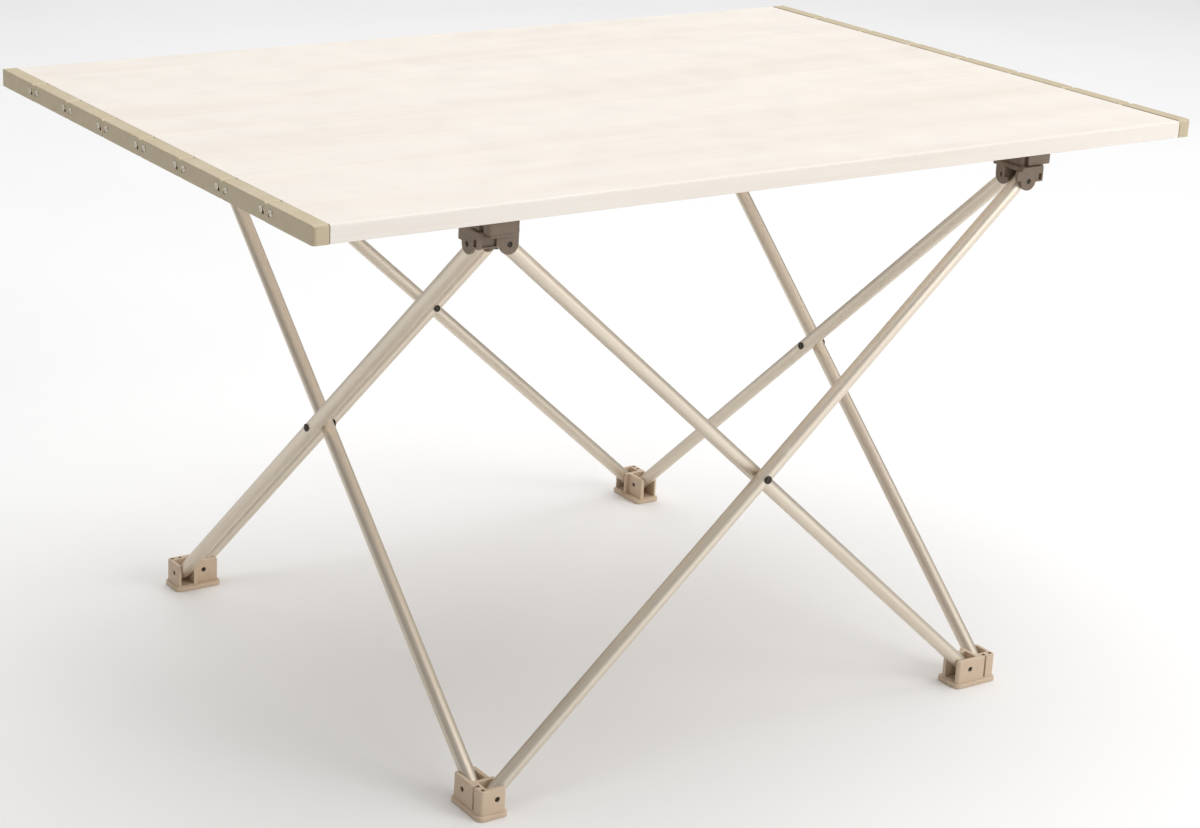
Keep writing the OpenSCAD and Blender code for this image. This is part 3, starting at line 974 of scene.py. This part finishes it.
@dataclass
class EndCaps(SubAssembly):
    """The sixteen end caps, a left and a right one on each slat.

    Attributes:
        top_round: Rounding of a cap's upper corners.
        low_round: Rounding of its lower corners.
        rim: Width of its broken edges.
        shadow_gap: Gap between the cap and the slat's end.
        plug_l: Length of its two plugs.
        plug_gap: Gap round a plug.
        outer_wall: Wall outside the link's slot.
        slot_w: Width of the link's slot.
        slot_r: Radius of the slot's round end.
        pin_hole_r: Half the width of a pin's slot.
        pin_hold: How far the pin's slot goes on past the link.
        pin_in: Distance from the seam to a pin.
        pin_drop: Depth of a pin below the cap's top.
        swing: How far a pin swings about the seam's top edge, in degrees.
        swing_steps: How many straight stretches stand for that swing.
        mouth_step: How far the slot's mouth stays inside its round end.
    """

    top_round: float = 2.8 * MM
    low_round: float = 1.4 * MM
    rim: float = 0.45 * MM
    shadow_gap: float = 0.7 * MM
    plug_l: float = 12 * MM
    plug_gap: float = 0.15 * MM
    outer_wall: float = 2.2 * MM
    slot_w: float = 2.4 * MM
    slot_r: float = 3.7 * MM
    pin_hole_r: float = 1.31 * MM
    pin_hold: float = 3.2 * MM
    pin_in: float = 6 * MM
    pin_drop: float = 5 * MM
    swing: float = 23
    swing_steps: int = 4
    mouth_step: float = 0.02 * MM

    def swing_path(self, seam: float, into: int) -> list[tuple[float, float]]:
        """Follows a pin as its cap turns about the seam's top edge.

        Args:
            seam: The seam's place along Y.
            into: 1 if the cap lies behind the seam, -1 if before it.

        Returns:
            Points along the pin's path, as Y and Z.
        """
        radius = math.hypot(self.pin_in, self.pin_drop)
        start = math.atan2(self.pin_drop, self.pin_in)
        steps = self.swing_steps
        turns = [start + math.radians(self.swing) * k / steps for k in range(steps + 1)]
        return [(seam + into * radius * math.cos(a), self.plan.top_z - radius * math.sin(a)) for a in turns]

    def pattern(self, node: str, seams: list[tuple[float, int]]) -> Piece:
        """Makes the right-hand cap of one slat.

        Args:
            node: The pair's node, whose box gives the cap's width.
            seams: Each seam's place, and on which side of it the cap lies.

        Returns:
            The cap.
        """
        plan = self.plan
        low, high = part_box(node)
        cap = block((plan.slat_x + self.shadow_gap, low.y, low.z), (plan.cap_x, high.y, high.z))
        free = [y for y in (low.y, high.y) if not any(abs(y - seam) < MM for seam, _ in seams)]
        round_edges(
            cap,
            lambda a, b: (lies_along(0, a, b) and near(a.z, high.z))
            or (lies_along(2, a, b) and near(a.x, plan.cap_x) and any(near(a.y, y) for y in free)),
            self.top_round, 5,
        )
        round_edges(cap, lambda a, b: lies_along(0, a, b) and near(a.z, low.z), self.low_round, 3)
        soften(cap, self.rim)
        join_solid(cap, self.plugs(low, high), Joining.ADD)
        x_slot = plan.cap_x - self.outer_wall - self.slot_w
        for seam, into in seams:
            path = self.swing_path(seam, into)
            room = lozenge(path[::2], x_slot, x_slot + self.slot_w, self.slot_r)
            mouth_y = sorted((seam - into * CUT, path[-1][0]))
            inside = self.slot_r - self.mouth_step
            mouth = block((x_slot, mouth_y[0], path[-1][1] - inside),
                          (x_slot + self.slot_w, mouth_y[1], path[0][1] + inside))
            pin_slot = lozenge(path, x_slot - self.pin_hold, plan.cap_x + CUT, self.pin_hole_r)
            join_solid(cap, [room, mouth, pin_slot], Joining.CUT)
        return cap

    def plugs(self, low: Vector, high: Vector) -> list[Piece]:
        """Makes the two plugs that hold a cap in its slat.

        Args:
            low: The lowest corner of the pair's box.
            high: The highest corner of the pair's box.

        Returns:
            The plugs.
        """
        skins = SlatSkins(self.plan)
        inner = skins.wall / 2 + self.plug_gap
        outer = (high.y - low.y) / 2 - skins.wall - skins.seam_wall - self.plug_gap
        bottom = self.plan.slat_bottom + skins.wall + self.plug_gap
        top = self.plan.slat_top - skins.wall - self.plug_gap
        middle = (low.y + high.y) / 2
        made = []
        for side in (-1, 1):
            edge = middle + side * outer
            ends = sorted((middle + side * inner, edge))
            plug = block((self.plan.slat_x - self.plug_l, ends[0], bottom),
                         (self.plan.slat_x + self.shadow_gap + 2 * CUT, ends[1], top))
            round_edges(plug, lambda a, b, y=edge: lies_along(0, a, b) and near(a.y, y) and near(a.z, top),
                        skins.shoulder, 1)
            made.append(plug)
        return made

    def build(self) -> None:
        """Makes the caps and sets them on the frame, each pair as one piece."""
        plan = self.plan
        inner = mirrored_pair(self.pattern("end_caps_2", [(plan.seam_y(1), 1), (plan.seam_y(2), -1)]))
        outer = mirrored_pair(self.pattern("end_caps_1", [(plan.seam_y(1), -1)]))
        self.lay_row(outer, inner, "cap_pair", "end_caps", CAP_NYLON)


@dataclass
class SeamLinks(SubAssembly):
    """The links inside the caps at each seam, and their pins.

    Attributes:
        caps: The caps, whose sizes the links follow.
        thick: Thickness of a link.
        side_gap: Gap on each side of a link in its slot.
        round_r: Radius of a link round each pin.
        waist_low: How far its waist reaches below the pins.
        waist_high: How far its waist reaches above them.
        pin_r: Radius of a pin.
        head_r: Radius of a pin's head.
        head_t: How far a head stands out.
        head_gap: Gap between a head and the cap.
        head_round: Rounding of a head's outer edge.
        hollow: Rim round the hollow in a head, and its depth.
        pin_end: Gap behind a pin in its slot.
        rim: Width of the link's and the pin's broken edges.
    """

    caps: EndCaps
    thick: float = 2 * MM
    side_gap: float = 0.2 * MM
    round_r: float = 3.2 * MM
    waist_low: float = 2.6 * MM
    waist_high: float = 1 * MM
    pin_r: float = 1.25 * MM
    head_r: float = 2.1 * MM
    head_t: float = 0.5 * MM
    head_gap: float = 0.05 * MM
    head_round: float = 0.3 * MM
    hollow: tuple[float, float] = (0.9 * MM, 0.25 * MM)
    pin_end: float = 0.2 * MM
    rim: tuple[float, float] = (0.15 * MM, 0.06 * MM)

    def link(self, seam: float, z: float) -> Piece:
        """Makes the right-hand link of a seam.

        Args:
            seam: The seam's place.
            z: The height of its pins.

        Returns:
            The link.
        """
        x0 = self.plan.cap_x - self.caps.outer_wall - self.side_gap - self.thick
        x1 = x0 + self.thick
        pins = [seam - self.caps.pin_in, seam + self.caps.pin_in]
        plate = block((x0, pins[0], z - self.waist_low), (x1, pins[1], z + self.waist_high))
        join_solid(plate, [bar((x0, y, z), (x1, y, z), self.round_r) for y in pins], Joining.ADD)
        soften(plate, self.rim[0])
        holes = [bar((x0 - CUT, y, z), (x1 + CUT, y, z), self.pin_r) for y in pins]
        return join_solid(plate, holes, Joining.CUT)

    def pin(self, y: float, z: float) -> Piece:
        """Makes one pin with a domed head and a riveting hollow.

        Args:
            y: The pin's place along Y.
            z: Its height.

        Returns:
            The pin.
        """
        face = self.plan.cap_x + self.head_gap
        caps, outside = self.caps, face + self.head_t
        inner = self.plan.cap_x - caps.outer_wall - caps.slot_w - caps.pin_hold + self.pin_end
        head = bar((face, y, z), (outside, y, z), self.head_r)
        round_edges(head, lambda a, b: near(a.x, outside) and near(b.x, outside), self.head_round, 3)
        press_in(head, lambda middle, normal: normal.x > 0.99, *self.hollow)
        shank = bar((inner, y, z), (face + self.head_t / 4, y, z), self.pin_r)
        join_solid(head, [shank], Joining.ADD)
        soften(head, self.rim[1], 1)
        return head

    def build(self) -> None:
        """Makes the links and pins of every seam and sets them on the frame."""
        z = self.plan.top_z - self.caps.pin_drop
        seam = self.plan.seam_y(1)
        links = mirrored_pair(self.link(seam, z))
        pins = mirrored_pair(joined([self.pin(seam + side * self.caps.pin_in, z) for side in (-1, 1)]))
        for number in range(1, self.plan.slats):
            move = Matrix.Translation((0, (number - 1) * self.plan.pitch, 0))
            self.fit(copy_of(links, move), f"link_pair_{number}", f"seam_links_{number}", LINK_METAL)
            self.fit(copy_of(pins, move), f"link_pins_{number}", f"seam_pins_{number}", LINK_METAL)
        remove(links, pins)


@dataclass
class TopBrackets(SubAssembly):
    """The angle brackets under the ends of the first and last slats, which drop over the hubs.

    Attributes:
        reach_in: How far a bracket reaches along each side from its corner.
        reach_out: How far it stands outside the corner.
        plate_t: Thickness of its plate.
        wall: Thickness of its walls.
        wall_reach: How far the walls reach along each side.
        wall_low: Height of the walls' lower edges.
        notch_y: Where the notch in the side wall begins and ends.
        notch_h: Height of that notch.
        lug_r: Radius of the lugs.
        lug_up: How far the lugs rise above the plate.
        edge: Width of the broken edges.
        corner_r: Rounding of its outer corner.
        lug_round: Rounding of a lug's end.
        top_gap: Gap between its plate and the slat.
    """

    reach_in: float = 15 * MM
    reach_out: float = 11 * MM
    plate_t: float = 2.2 * MM
    wall: float = 2.6 * MM
    wall_reach: float = 9 * MM
    wall_low: float = 382.9 * MM
    notch_y: tuple[float, float] = (-5.5 * MM, -0.5 * MM)
    notch_h: float = 4 * MM
    lug_r: float = 2.9 * MM
    lug_up: float = 2.3 * MM
    edge: float = 0.5 * MM
    corner_r: float = 2.4 * MM
    lug_round: float = 0.5 * MM
    top_gap: float = 0.02 * MM

    def pattern(self) -> Piece:
        """Makes the bracket of the front left corner, round the origin.

        Returns:
            The bracket.
        """
        out, bottom = self.reach_out, self.plan.slat_bottom
        top = bottom - self.top_gap
        bracket = block((-out, -out, bottom - self.plate_t), (self.reach_in, self.reach_in, top))
        walls = [
            block((-out, -out, self.wall_low), (self.wall_reach, self.wall - out, top - self.plate_t / 2)),
            block((-out, -out, self.wall_low), (self.wall - out, self.wall_reach, top - self.plate_t / 2)),
        ]
        join_solid(bracket, walls, Joining.ADD)
        round_edges(bracket, lambda a, b: lies_along(2, a, b) and near(a.x, -out) and near(a.y, -out),
                    self.corner_r, 5)
        notch = block((-out - CUT, self.notch_y[0], self.wall_low - CUT),
                      (self.wall - out + CUT, self.notch_y[1], self.wall_low + self.notch_h))
        soften(bracket, self.edge)
        join_solid(bracket, [notch], Joining.CUT)
        lugs = []
        for x, y in SlatSkins(self.plan).lug_places:
            lug = bar((x, y, bottom - self.plate_t / 2), (x, y, bottom + self.lug_up), self.lug_r)
            round_edges(lug, lambda a, b: near(a.z, bottom + self.lug_up) and near(b.z, a.z),
                        self.lug_round, 2)
            lugs.append(lug)
        return join_solid(bracket, lugs, Joining.ADD)

    def build(self) -> None:
        """Makes both bracket pairs and sets them on the frame."""
        pattern = self.pattern()
        left = copy_of(pattern, self.plan.at_corner(Corner.FRONT_LEFT))
        front = mirrored_pair(left)
        rear = copy_of(front, mirror(1))
        # The brackets' darker plastic colour is painted shade from the top.
        self.fit(front, "bracket_pair_front", "brackets_front", HUB_NYLON_PAINTED_SHADE)
        self.fit(rear, "bracket_pair_rear", "brackets_rear", HUB_NYLON_PAINTED_SHADE)
        remove(pattern)


@dataclass
class Clevises(SubAssembly):
    """What a hub and a foot share: two clevises at right angles, each with a pin.

    Attributes:
        slot_half: Half the width of a leg's slot.
        cheek_t: Thickness of a cheek.
        pin_r: Radius of a pin.
        pin_recess: How deep a pin's end lies in its hole.
        far: How far the corner's outer block reaches from the frame's corner.
        near_side: How far it reaches on the other side.
        pin_centre: Rim round the turning centre in a pin's end, and its depth.
        pin_chamfer: Width of a pin's chamfer.
        pin_gap: Gap round a pin.
    """

    slot_half: float = 5.3 * MM
    cheek_t: float = 2.8 * MM
    pin_r: float = 1.9 * MM
    pin_recess: float = 0.8 * MM
    far: float = 13.3 * MM
    near_side: float = 2.9 * MM
    pin_centre: tuple[float, float] = (1.1 * MM, 0.3 * MM)
    pin_chamfer: float = 0.25 * MM
    pin_gap: float = 0.02 * MM

    def pin_pair(self, mid: float, z: float) -> Piece:
        """Makes the two pins of one corner, round the origin.

        Args:
            mid: The middle of the first clevis along Y, and minus that of the second along X.
            z: The pins' height.

        Returns:
            Both pins, each with a chamfer and a turning centre at its ends.
        """
        reach = self.slot_half + self.cheek_t - self.pin_recess
        inset = self.plan.pin_inset
        pins = [
            bar((inset, mid - reach, z), (inset, mid + reach, z), self.pin_r),
            bar((-mid - reach, inset, z), (-mid + reach, inset, z), self.pin_r),
        ]
        for axis, pin in ((1, pins[0]), (0, pins[1])):
            press_in(pin, lambda middle, normal, k=axis: abs(normal[k]) > 0.99, *self.pin_centre)
            soften(pin, self.pin_chamfer)
        return joined(pins)

    def bores(self, first: tuple[float, float], second: tuple[float, float], z: float) -> list[Piece]:
        """Makes the cutters for the pins' holes.

        Args:
            first: From where to where along Y the first hole goes.
            second: From where to where along X the second hole goes.
            z: The pins' height.

        Returns:
            The cutters.
        """
        inset, radius = self.plan.pin_inset, self.pin_r + self.pin_gap
        return [
            bar((inset, first[0], z), (inset, first[1], z), radius),
            bar((second[0], inset, z), (second[1], inset, z), radius),
        ]

    def at_corners(self, pattern: Piece, word: str, node: str, finish: Finish) -> None:
        """Copies a pattern to all four corners.

        Args:
            pattern: The piece round the origin, which is used up.
            word: The start of the copies' names.
            node: The start of the nodes' names.
            finish: Their finish.
        """
        for corner in Corner:
            copy = copy_of(pattern, self.plan.at_corner(corner))
            self.fit(copy, f"{word}_{corner.label}", f"{node}_{corner.label}", finish)
        remove(pattern)


@dataclass
class CornerHubs(Clevises):
    """The four hubs that carry the top and hold the legs' upper ends.

    Attributes:
        cheek_r: Radius of a cheek round its pin.
        shoulder: Heights of the shoulder's underside and top.
        head_top: Height of the head's top.
        head: How far the head reaches outward and inward.
        post_end: How far the corner post reaches inward.
        clevis_end: How far the first clevis reaches.
        second_end: How far the second clevis reaches.
        pocket_w: Width of the moulded pockets.
        pocket_h: Height of the tall pockets.
        pocket_up: How far they begin above the post's lower end.
        post_low: How far the post reaches below the pins' middle.
        ledge: How far the cheeks lie inside the shoulder's edge.
        pocket_depth: Depth of the pockets.
        edge: Width of the broken edges.
        head_r: Rounding of the head's upright corners.
        cheek_in: How far a cheek reaches into the corner post.
        cheek_step: How far its upper part begins above the pins' middle.
        cheek_short: How far it ends before the shoulder does.
        cheek_trim: How much smaller its round end is than its radius.
    """

    cheek_r: float = 6.5 * MM
    shoulder: tuple[float, float] = (379.5 * MM, 382.5 * MM)
    head_top: float = 389.4 * MM
    head: tuple[float, float] = (-8 * MM, 13 * MM)
    post_end: float = 3.9 * MM
    clevis_end: float = 16 * MM
    second_end: float = 20 * MM
    pocket_w: float = 3 * MM
    pocket_h: float = 4.5 * MM
    pocket_up: float = 1.2 * MM
    post_low: float = 1 * MM
    ledge: float = 0.3 * MM
    pocket_depth: float = 1.6 * MM
    edge: float = 0.55 * MM
    head_r: float = 1.5 * MM
    cheek_in: float = 1.7 * MM
    cheek_step: float = 0.5 * MM
    cheek_short: float = 0.1 * MM
    cheek_trim: float = 0.05 * MM

    def cheek(self, low: float, second: bool, end: float) -> Piece:
        """Makes one cheek.

        Args:
            low: Where its thickness begins.
            second: Whether it belongs to the second clevis, which is turned a quarter.
            end: How far it reaches from the corner.

        Returns:
            The cheek.
        """
        z, top, inset = self.plan.hub_z, self.shoulder[0] + CUT, self.plan.pin_inset
        high = low + self.cheek_t - self.ledge
        boxes = [
            ((inset - self.cheek_r, low, z - self.cheek_r), (inset + self.cheek_r, high, top)),
            ((self.post_end - self.cheek_in, low, z + self.cheek_step), (end - self.cheek_short, high, top)),
        ]
        plates = [block(*(swapped(*box) if second else box)) for box in boxes]
        along = 0 if second else 1
        round_edges(plates[0], lambda a, b: lies_along(along, a, b) and near(a.z, z - self.cheek_r),
                    self.cheek_r - self.cheek_trim, 12)
        for plate in plates:
            soften(plate, self.edge)
        return join_solid(plates[0], plates[1:], Joining.ADD)

    def pockets(self, z0: float) -> list[Piece]:
        """Makes the cutters for the moulded pockets.

        Args:
            z0: The height of the post's foot.

        Returns:
            The cutters.
        """
        far, near_side, wide, deep = self.far, self.near_side, self.pocket_w, self.pocket_depth
        low, high = z0 + self.pocket_up, z0 + self.pocket_up + self.pocket_h
        return [
            block((wide - far, -near_side - CUT, low), (0, deep - near_side, high)),
            block((-far - CUT, wide / 2 - near_side, low), (deep - far, 1.5 * wide - near_side, high)),
            block((-wide, self.head[0] - CUT, self.shoulder[1] + CUT),
                  (2 * wide, self.head[0] + deep, self.shoulder[1] + CUT + wide)),
        ]

    def pattern(self) -> Piece:
        """Makes the hub of the front left corner, round the origin.

        Returns:
            The hub.
        """
        far, near_side, end = self.far, self.near_side, self.post_end
        z0 = self.plan.hub_z - self.post_low
        hub = block((-far, -near_side, z0), (end, end, self.shoulder[1]))
        cheeks = []
        for side in (-1, 1):
            first = self.plan.leg_off + side * (self.slot_half + self.cheek_t / 2) - self.cheek_t / 2
            inward = self.ledge if side < 0 else 0
            cheeks.append(self.cheek(first + inward, False, self.clevis_end))
            cheeks.append(self.cheek(first - 2 * self.plan.leg_off + inward, True, self.second_end))
        shoulder_low, shoulder_high = self.shoulder
        head_low, head_high = self.head
        shoulder = block((-far, -near_side, shoulder_low), (self.clevis_end, self.clevis_end, shoulder_high))
        head = block((head_low, head_low, shoulder_low), (head_high, head_high, self.head_top))
        round_edges(head, lambda a, b: lies_along(2, a, b), self.head_r, 4)
        for part in (hub, shoulder, head):
            soften(part, self.edge)
        join_solid(hub, cheeks + [shoulder, head], Joining.ADD)
        holes = self.bores((-far, far), (-far - CUT, far), self.plan.hub_z)
        return join_solid(hub, self.pockets(z0) + holes, Joining.CUT)

    def build(self) -> None:
        """Makes the hubs and their pins and sets them on the frame."""
        # The hubs' darker plastic colour is painted shade from the top.
        self.at_corners(self.pattern(), "hub_block", "hub", HUB_NYLON_PAINTED_SHADE)
        pins = self.pin_pair(self.plan.leg_off, self.plan.hub_z)
        self.at_corners(pins, "hub_axles", "hub_pins", DARK_STEEL)


@dataclass
class CornerFeet(Clevises):
    """The four feet, slotted from above for the legs' lower ends.

    Attributes:
        height: A foot's height.
        end: How far a foot reaches along its first leg.
        length: Its length along its second leg.
        corner_r: Rounding of its upright corners.
        flange_t: Thickness of its flange.
        flange_out: How far the flange stands out.
        floor: Height of the slots' floors.
        post_end: How far the corner post reaches inward.
        groove: Where the outer groove begins and ends.
        groove_depth: Its depth.
        socket_w: Width of the two sockets.
        socket_wall: Wall round them.
        socket_depth: Their depth.
        edge: Width of the broken edges.
    """

    height: float = 20.5 * MM
    end: float = 16.5 * MM
    length: float = 34 * MM
    corner_r: float = 2.6 * MM
    flange_t: float = 3.5 * MM
    flange_out: float = 1.6 * MM
    floor: float = 4.3 * MM
    post_end: float = 2.9 * MM
    groove: tuple[float, float] = (-5.2 * MM, -3.4 * MM)
    groove_depth: float = 1.4 * MM
    socket_w: float = 3 * MM
    socket_wall: float = 1.5 * MM
    socket_depth: float = 6 * MM
    edge: float = 0.8 * MM

    def tub(self, out: float, height: float) -> Piece:
        """Makes the foot's outline as a solid with round corners.

        Args:
            out: How far it stands out from the foot's body.
            height: How high it is.

        Returns:
            The solid.
        """
        tub = block((-self.near_side - out, -self.far - out, 0),
                    (self.end + out, self.length - self.far + out, height))
        round_edges(tub, lambda a, b: lies_along(2, a, b), self.corner_r + out, 6)
        soften(tub, self.edge, 3)
        return tub

    def pattern(self) -> Piece:
        """Makes the foot of the front left corner, round the origin.

        Returns:
            The foot.
        """
        mid, slot, inner, high = -self.plan.leg_off, self.slot_half, self.post_end, self.height + CUT
        foot = join_solid(self.tub(0, self.height), [self.tub(self.flange_out, self.flange_t)], Joining.ADD)
        long = self.length + CUT
        cuts = [
            block((inner, mid - slot, self.floor), (long, mid + slot, high)),
            block((-mid - slot, inner, self.floor), (-mid + slot, long, high)),
            block((slot - mid + self.cheek_t, slot + mid + self.cheek_t, self.flange_t), (long, long, high)),
            block((-self.near_side - CUT, self.groove[0], self.floor),
                  (self.groove_depth - self.near_side, self.groove[1], high)),
        ]
        for y in (self.socket_wall - self.far, 3 * self.socket_wall + self.socket_w - self.far):
            cuts.append(block((self.socket_wall - self.near_side, y, self.height - self.socket_depth),
                              (inner - self.socket_wall, y + self.socket_w, high)))
        cuts += self.bores((-self.far - CUT, self.far), (-self.far, 2 * self.far), self.plan.foot_z)
        return join_solid(foot, cuts, Joining.CUT)

    def build(self) -> None:
        """Makes the feet and their pins and sets them on the frame."""
        self.at_corners(self.pattern(), "shoe", "foot", FOOT_NYLON)
        pins = self.pin_pair(-self.plan.leg_off, self.plan.foot_z)
        self.at_corners(pins, "shoe_axles", "foot_pins", DARK_STEEL)


@dataclass
class ScissorLegs(SubAssembly):
    """The eight tube legs and the rivets at their crossings.

    Attributes:
        radius: Radius of a tube.
        wall: Its wall.
        end_hole_r: Radius of the holes at its ends.
        middle_hole_r: Radius of the hole at its middle.
        rivet_r: Radius of a rivet.
        head_r: Radius of its head.
        head_t: Thickness of its head.
        head_taper: How much narrower the head is outside.
        eye_r: Radius of the hollow in a head.
        stand: Gap between a head and the tube.
        eye_depth: Depth of the hollow in a head.
        overlap: How far the shank goes on into a head.
        rim: Width of a rivet's broken edges.
        end_play: How much larger a tube's round-cut end is than the tube.
    """

    radius: float = 5 * MM
    wall: float = 1 * MM
    end_hole_r: float = 1.96 * MM
    middle_hole_r: float = 1.66 * MM
    rivet_r: float = 1.6 * MM
    head_r: float = 2.8 * MM
    head_t: float = 0.9 * MM
    head_taper: float = 0.8 * MM
    eye_r: float = 0.9 * MM
    stand: float = 0.1 * MM
    eye_depth: float = 0.35 * MM
    overlap: float = 0.1 * MM
    rim: float = 0.05 * MM
    end_play: float = 1.0001

    def span(self) -> float:
        """The distance between a leg's two corner pins along its side."""
        return 2 * (self.plan.half - self.plan.pin_inset)

    def rise(self) -> float:
        """The height between a leg's two corner pins."""
        return self.plan.hub_z - self.plan.foot_z

    def pattern(self) -> Piece:
        """Makes a leg along X from its upper pin at the origin.

        Returns:
            The tube, with its round-cut ends, its holes and its lengthwise places.
        """
        length, out = math.hypot(self.span(), self.rise()), 2 * self.radius
        tube = bar((-out, 0, 0), (length + out, 0, 0), self.radius, 64)
        outline = block((0, -out, -self.radius - CUT), (length, out, self.radius + CUT))
        caps = [bar((x, -out, 0), (x, out, 0), self.radius * self.end_play, 64) for x in (0, length)]
        join_solid(tube, [join_solid(outline, caps, Joining.ADD)], Joining.KEEP)
        hollow = [bar((-2 * out, 0, 0), (length + 2 * out, 0, 0), self.radius - self.wall, 64)]
        hollow += [bar((x, -out, 0), (x, out, 0), self.end_hole_r) for x in (0, length)]
        hollow.append(bar((length / 2, -out, 0), (length / 2, out, 0), self.middle_hole_r))
        join_solid(tube, hollow, Joining.CUT)
        tidy_faces(tube)
        places = tube.data.attributes.new(LENGTHWISE, "FLOAT_VECTOR", "POINT")
        for vertex, place in zip(tube.data.vertices, places.data):
            place.vector = vertex.co
        return tube

    def rivet(self) -> Piece:
        """Makes the rivet of the front crossing, with a rolled head at each end.

        Returns:
            The rivet.
        """
        y, z = -self.plan.half, (self.plan.hub_z + self.plan.foot_z) / 2
        reach = self.plan.leg_off + self.radius + self.stand
        shank = bar((0, y - reach - self.overlap, z), (0, y + reach + self.overlap, z), self.rivet_r)
        eye_rim = self.head_r - self.head_taper - self.eye_r
        heads = []
        for side in (-1, 1):
            face = y + side * (reach + self.head_t)
            head = bar((0, y + side * reach, z), (0, face, z), self.head_r)
            round_edges(head, lambda a, b, f=face: near(a.y, f) and near(b.y, f), self.head_taper * 0.8, 4)
            press_in(head, lambda middle, normal, f=face: near(middle.y, f), eye_rim, self.eye_depth)
            heads.append(head)
        join_solid(shank, heads, Joining.ADD)
        soften(shank, self.rim, 1)
        return shank

    def build(self) -> None:
        """Makes the legs and rivets and sets them on the frame."""
        plan, tube, rivet = self.plan, self.pattern(), self.rivet()
        tilt = Matrix.Rotation(math.atan2(self.rise(), self.span()), 4, "Y")
        inner = Matrix.Translation((-self.span() / 2, plan.leg_off - plan.half, plan.hub_z)) @ tilt
        outer = Matrix.Translation((self.span() / 2, -plan.half - plan.leg_off, plan.hub_z)) \
            @ Matrix.Rotation(math.pi, 4, "Z") @ tilt
        for side in Side:
            for layer, place in (("inner", inner), ("outer", outer)):
                leg = copy_of(tube, side.turn @ place)
                self.fit(leg, f"leg_tube_{side.label}_{layer}", f"leg_{side.label}_{layer}", LEG_METAL)
            pin = copy_of(rivet, side.turn)
            self.fit(pin, f"cross_rivet_{side.label}", f"rivet_{side.label}", DARK_STEEL)
        remove(tube, rivet)


# --- Studio --------------------------------------------------------------------------------


@dataclass
class Studio:
    """The floor, lights and camera.

    Attributes:
        camera_at: Where the camera stands.
        azimuth: How far it stands round to the side, in degrees.
        elevation: How far it looks down, in degrees.
        roll: How far it leans, in degrees.
        lens: Its focal length in millimetres.
        shift: Its sideways and upward shift.
        floor_side: Length of the floor's sides.
        air_strength: Strength of the light from all round.
    """

    camera_at: Point = (-1.0163, -1.4809, 0.7885)
    azimuth: float = -32.662
    elevation: float = 17.362
    roll: float = 2.213
    lens: float = 79.12
    shift: tuple[float, float] = (0.0808, -0.0668)
    floor_side: float = 24
    air_strength: float = 0.32

    def add_floor(self) -> None:
        """Adds the pale floor, with a faint unevenness."""
        bpy.ops.object.select_all(action="DESELECT")
        bpy.ops.mesh.primitive_plane_add(size=self.floor_side)
        floor = bpy.context.object
        floor.name = "studio_floor"
        paper = bpy.data.materials.new("studio_floor")
        paper.use_nodes = True
        wiring = Wiring(paper.node_tree)
        shader = paper.node_tree.nodes["Principled BSDF"]
        places = wiring.add("ShaderNodeTexCoord").outputs["Object"]
        cloud = wiring.remap(wiring.noise(places, 3), 0.3, 0.7)
        pale = wiring.mix(cloud, tone(0.97, 0.97, 0.97), tone(0.98, 0.98, 0.98))
        wiring.wire(pale, shader.inputs["Base Color"])
        shader.inputs["Roughness"].default_value = 0.9
        floor.data.materials.append(paper)

    def add_light(self, name: str, place: Point, target: Point, size: float, power: float) -> None:
        """Adds one soft square lamp.

        Args:
            name: The lamp's name.
            place: Where it hangs.
            target: What it points at.
            size: The length of its sides.
            power: Its power in watts.
        """
        lamp = bpy.data.lights.new(name, "AREA")
        lamp.shape, lamp.size, lamp.energy = "SQUARE", size, power
        holder = bpy.data.objects.new(name, lamp)
        holder.location = place
        holder.rotation_euler = (Vector(target) - Vector(place)).to_track_quat("-Z", "Y").to_euler()
        bpy.context.scene.collection.objects.link(holder)

    def add_camera(self) -> None:
        """Adds the camera and makes it the scene's own."""
        round_z, up = math.radians(self.azimuth), math.radians(self.elevation)
        back = Vector((math.sin(round_z) * math.cos(up), -math.cos(round_z) * math.cos(up), math.sin(up)))
        right = Vector((0, 0, 1)).cross(back).normalized()
        level = Matrix((right, back.cross(right), back)).transposed()
        lean = Matrix.Rotation(math.radians(self.roll), 3, "Z")
        camera = bpy.data.objects.new("studio_camera", bpy.data.cameras.new("studio_camera"))
        camera.matrix_world = Matrix.Translation(self.camera_at) @ (level @ lean).to_4x4()
        camera.data.sensor_width = 36
        camera.data.lens = self.lens
        camera.data.shift_x, camera.data.shift_y = self.shift
        bpy.context.scene.collection.objects.link(camera)
        bpy.context.scene.camera = camera

    def build(self) -> None:
        """Sets up the whole studio."""
        world = bpy.data.worlds.new("studio_air")
        world.use_nodes = True
        air = world.node_tree.nodes["Background"]
        air.inputs["Color"].default_value = (1.0, 1.0, 1.0, 1)
        air.inputs["Strength"].default_value = self.air_strength
        bpy.context.scene.world = world
        bpy.context.scene.view_settings.view_transform = "Standard"
        self.add_floor()
        self.add_light("overhead", (0.7, 0.5, 3.4), (0.2, 0.2, 0), 5.0, 134)
        self.add_light("key", (1.6, -2.6, 1.3), (0, 0, 0.2), 1.6, 38)
        self.add_camera()


def main() -> None:
    """Builds the studio and the table."""
    logging.basicConfig(level=logging.INFO, format="%(name)s: %(message)s")
    plan = Plan.from_frame()
    Studio().build()
    caps = EndCaps(plan)
    for part in (SlatSkins(plan), caps, SeamLinks(plan, caps), TopBrackets(plan), CornerHubs(plan),
                 CornerFeet(plan), ScissorLegs(plan)):
        part.build()


if __name__ == "__main__":
    main()
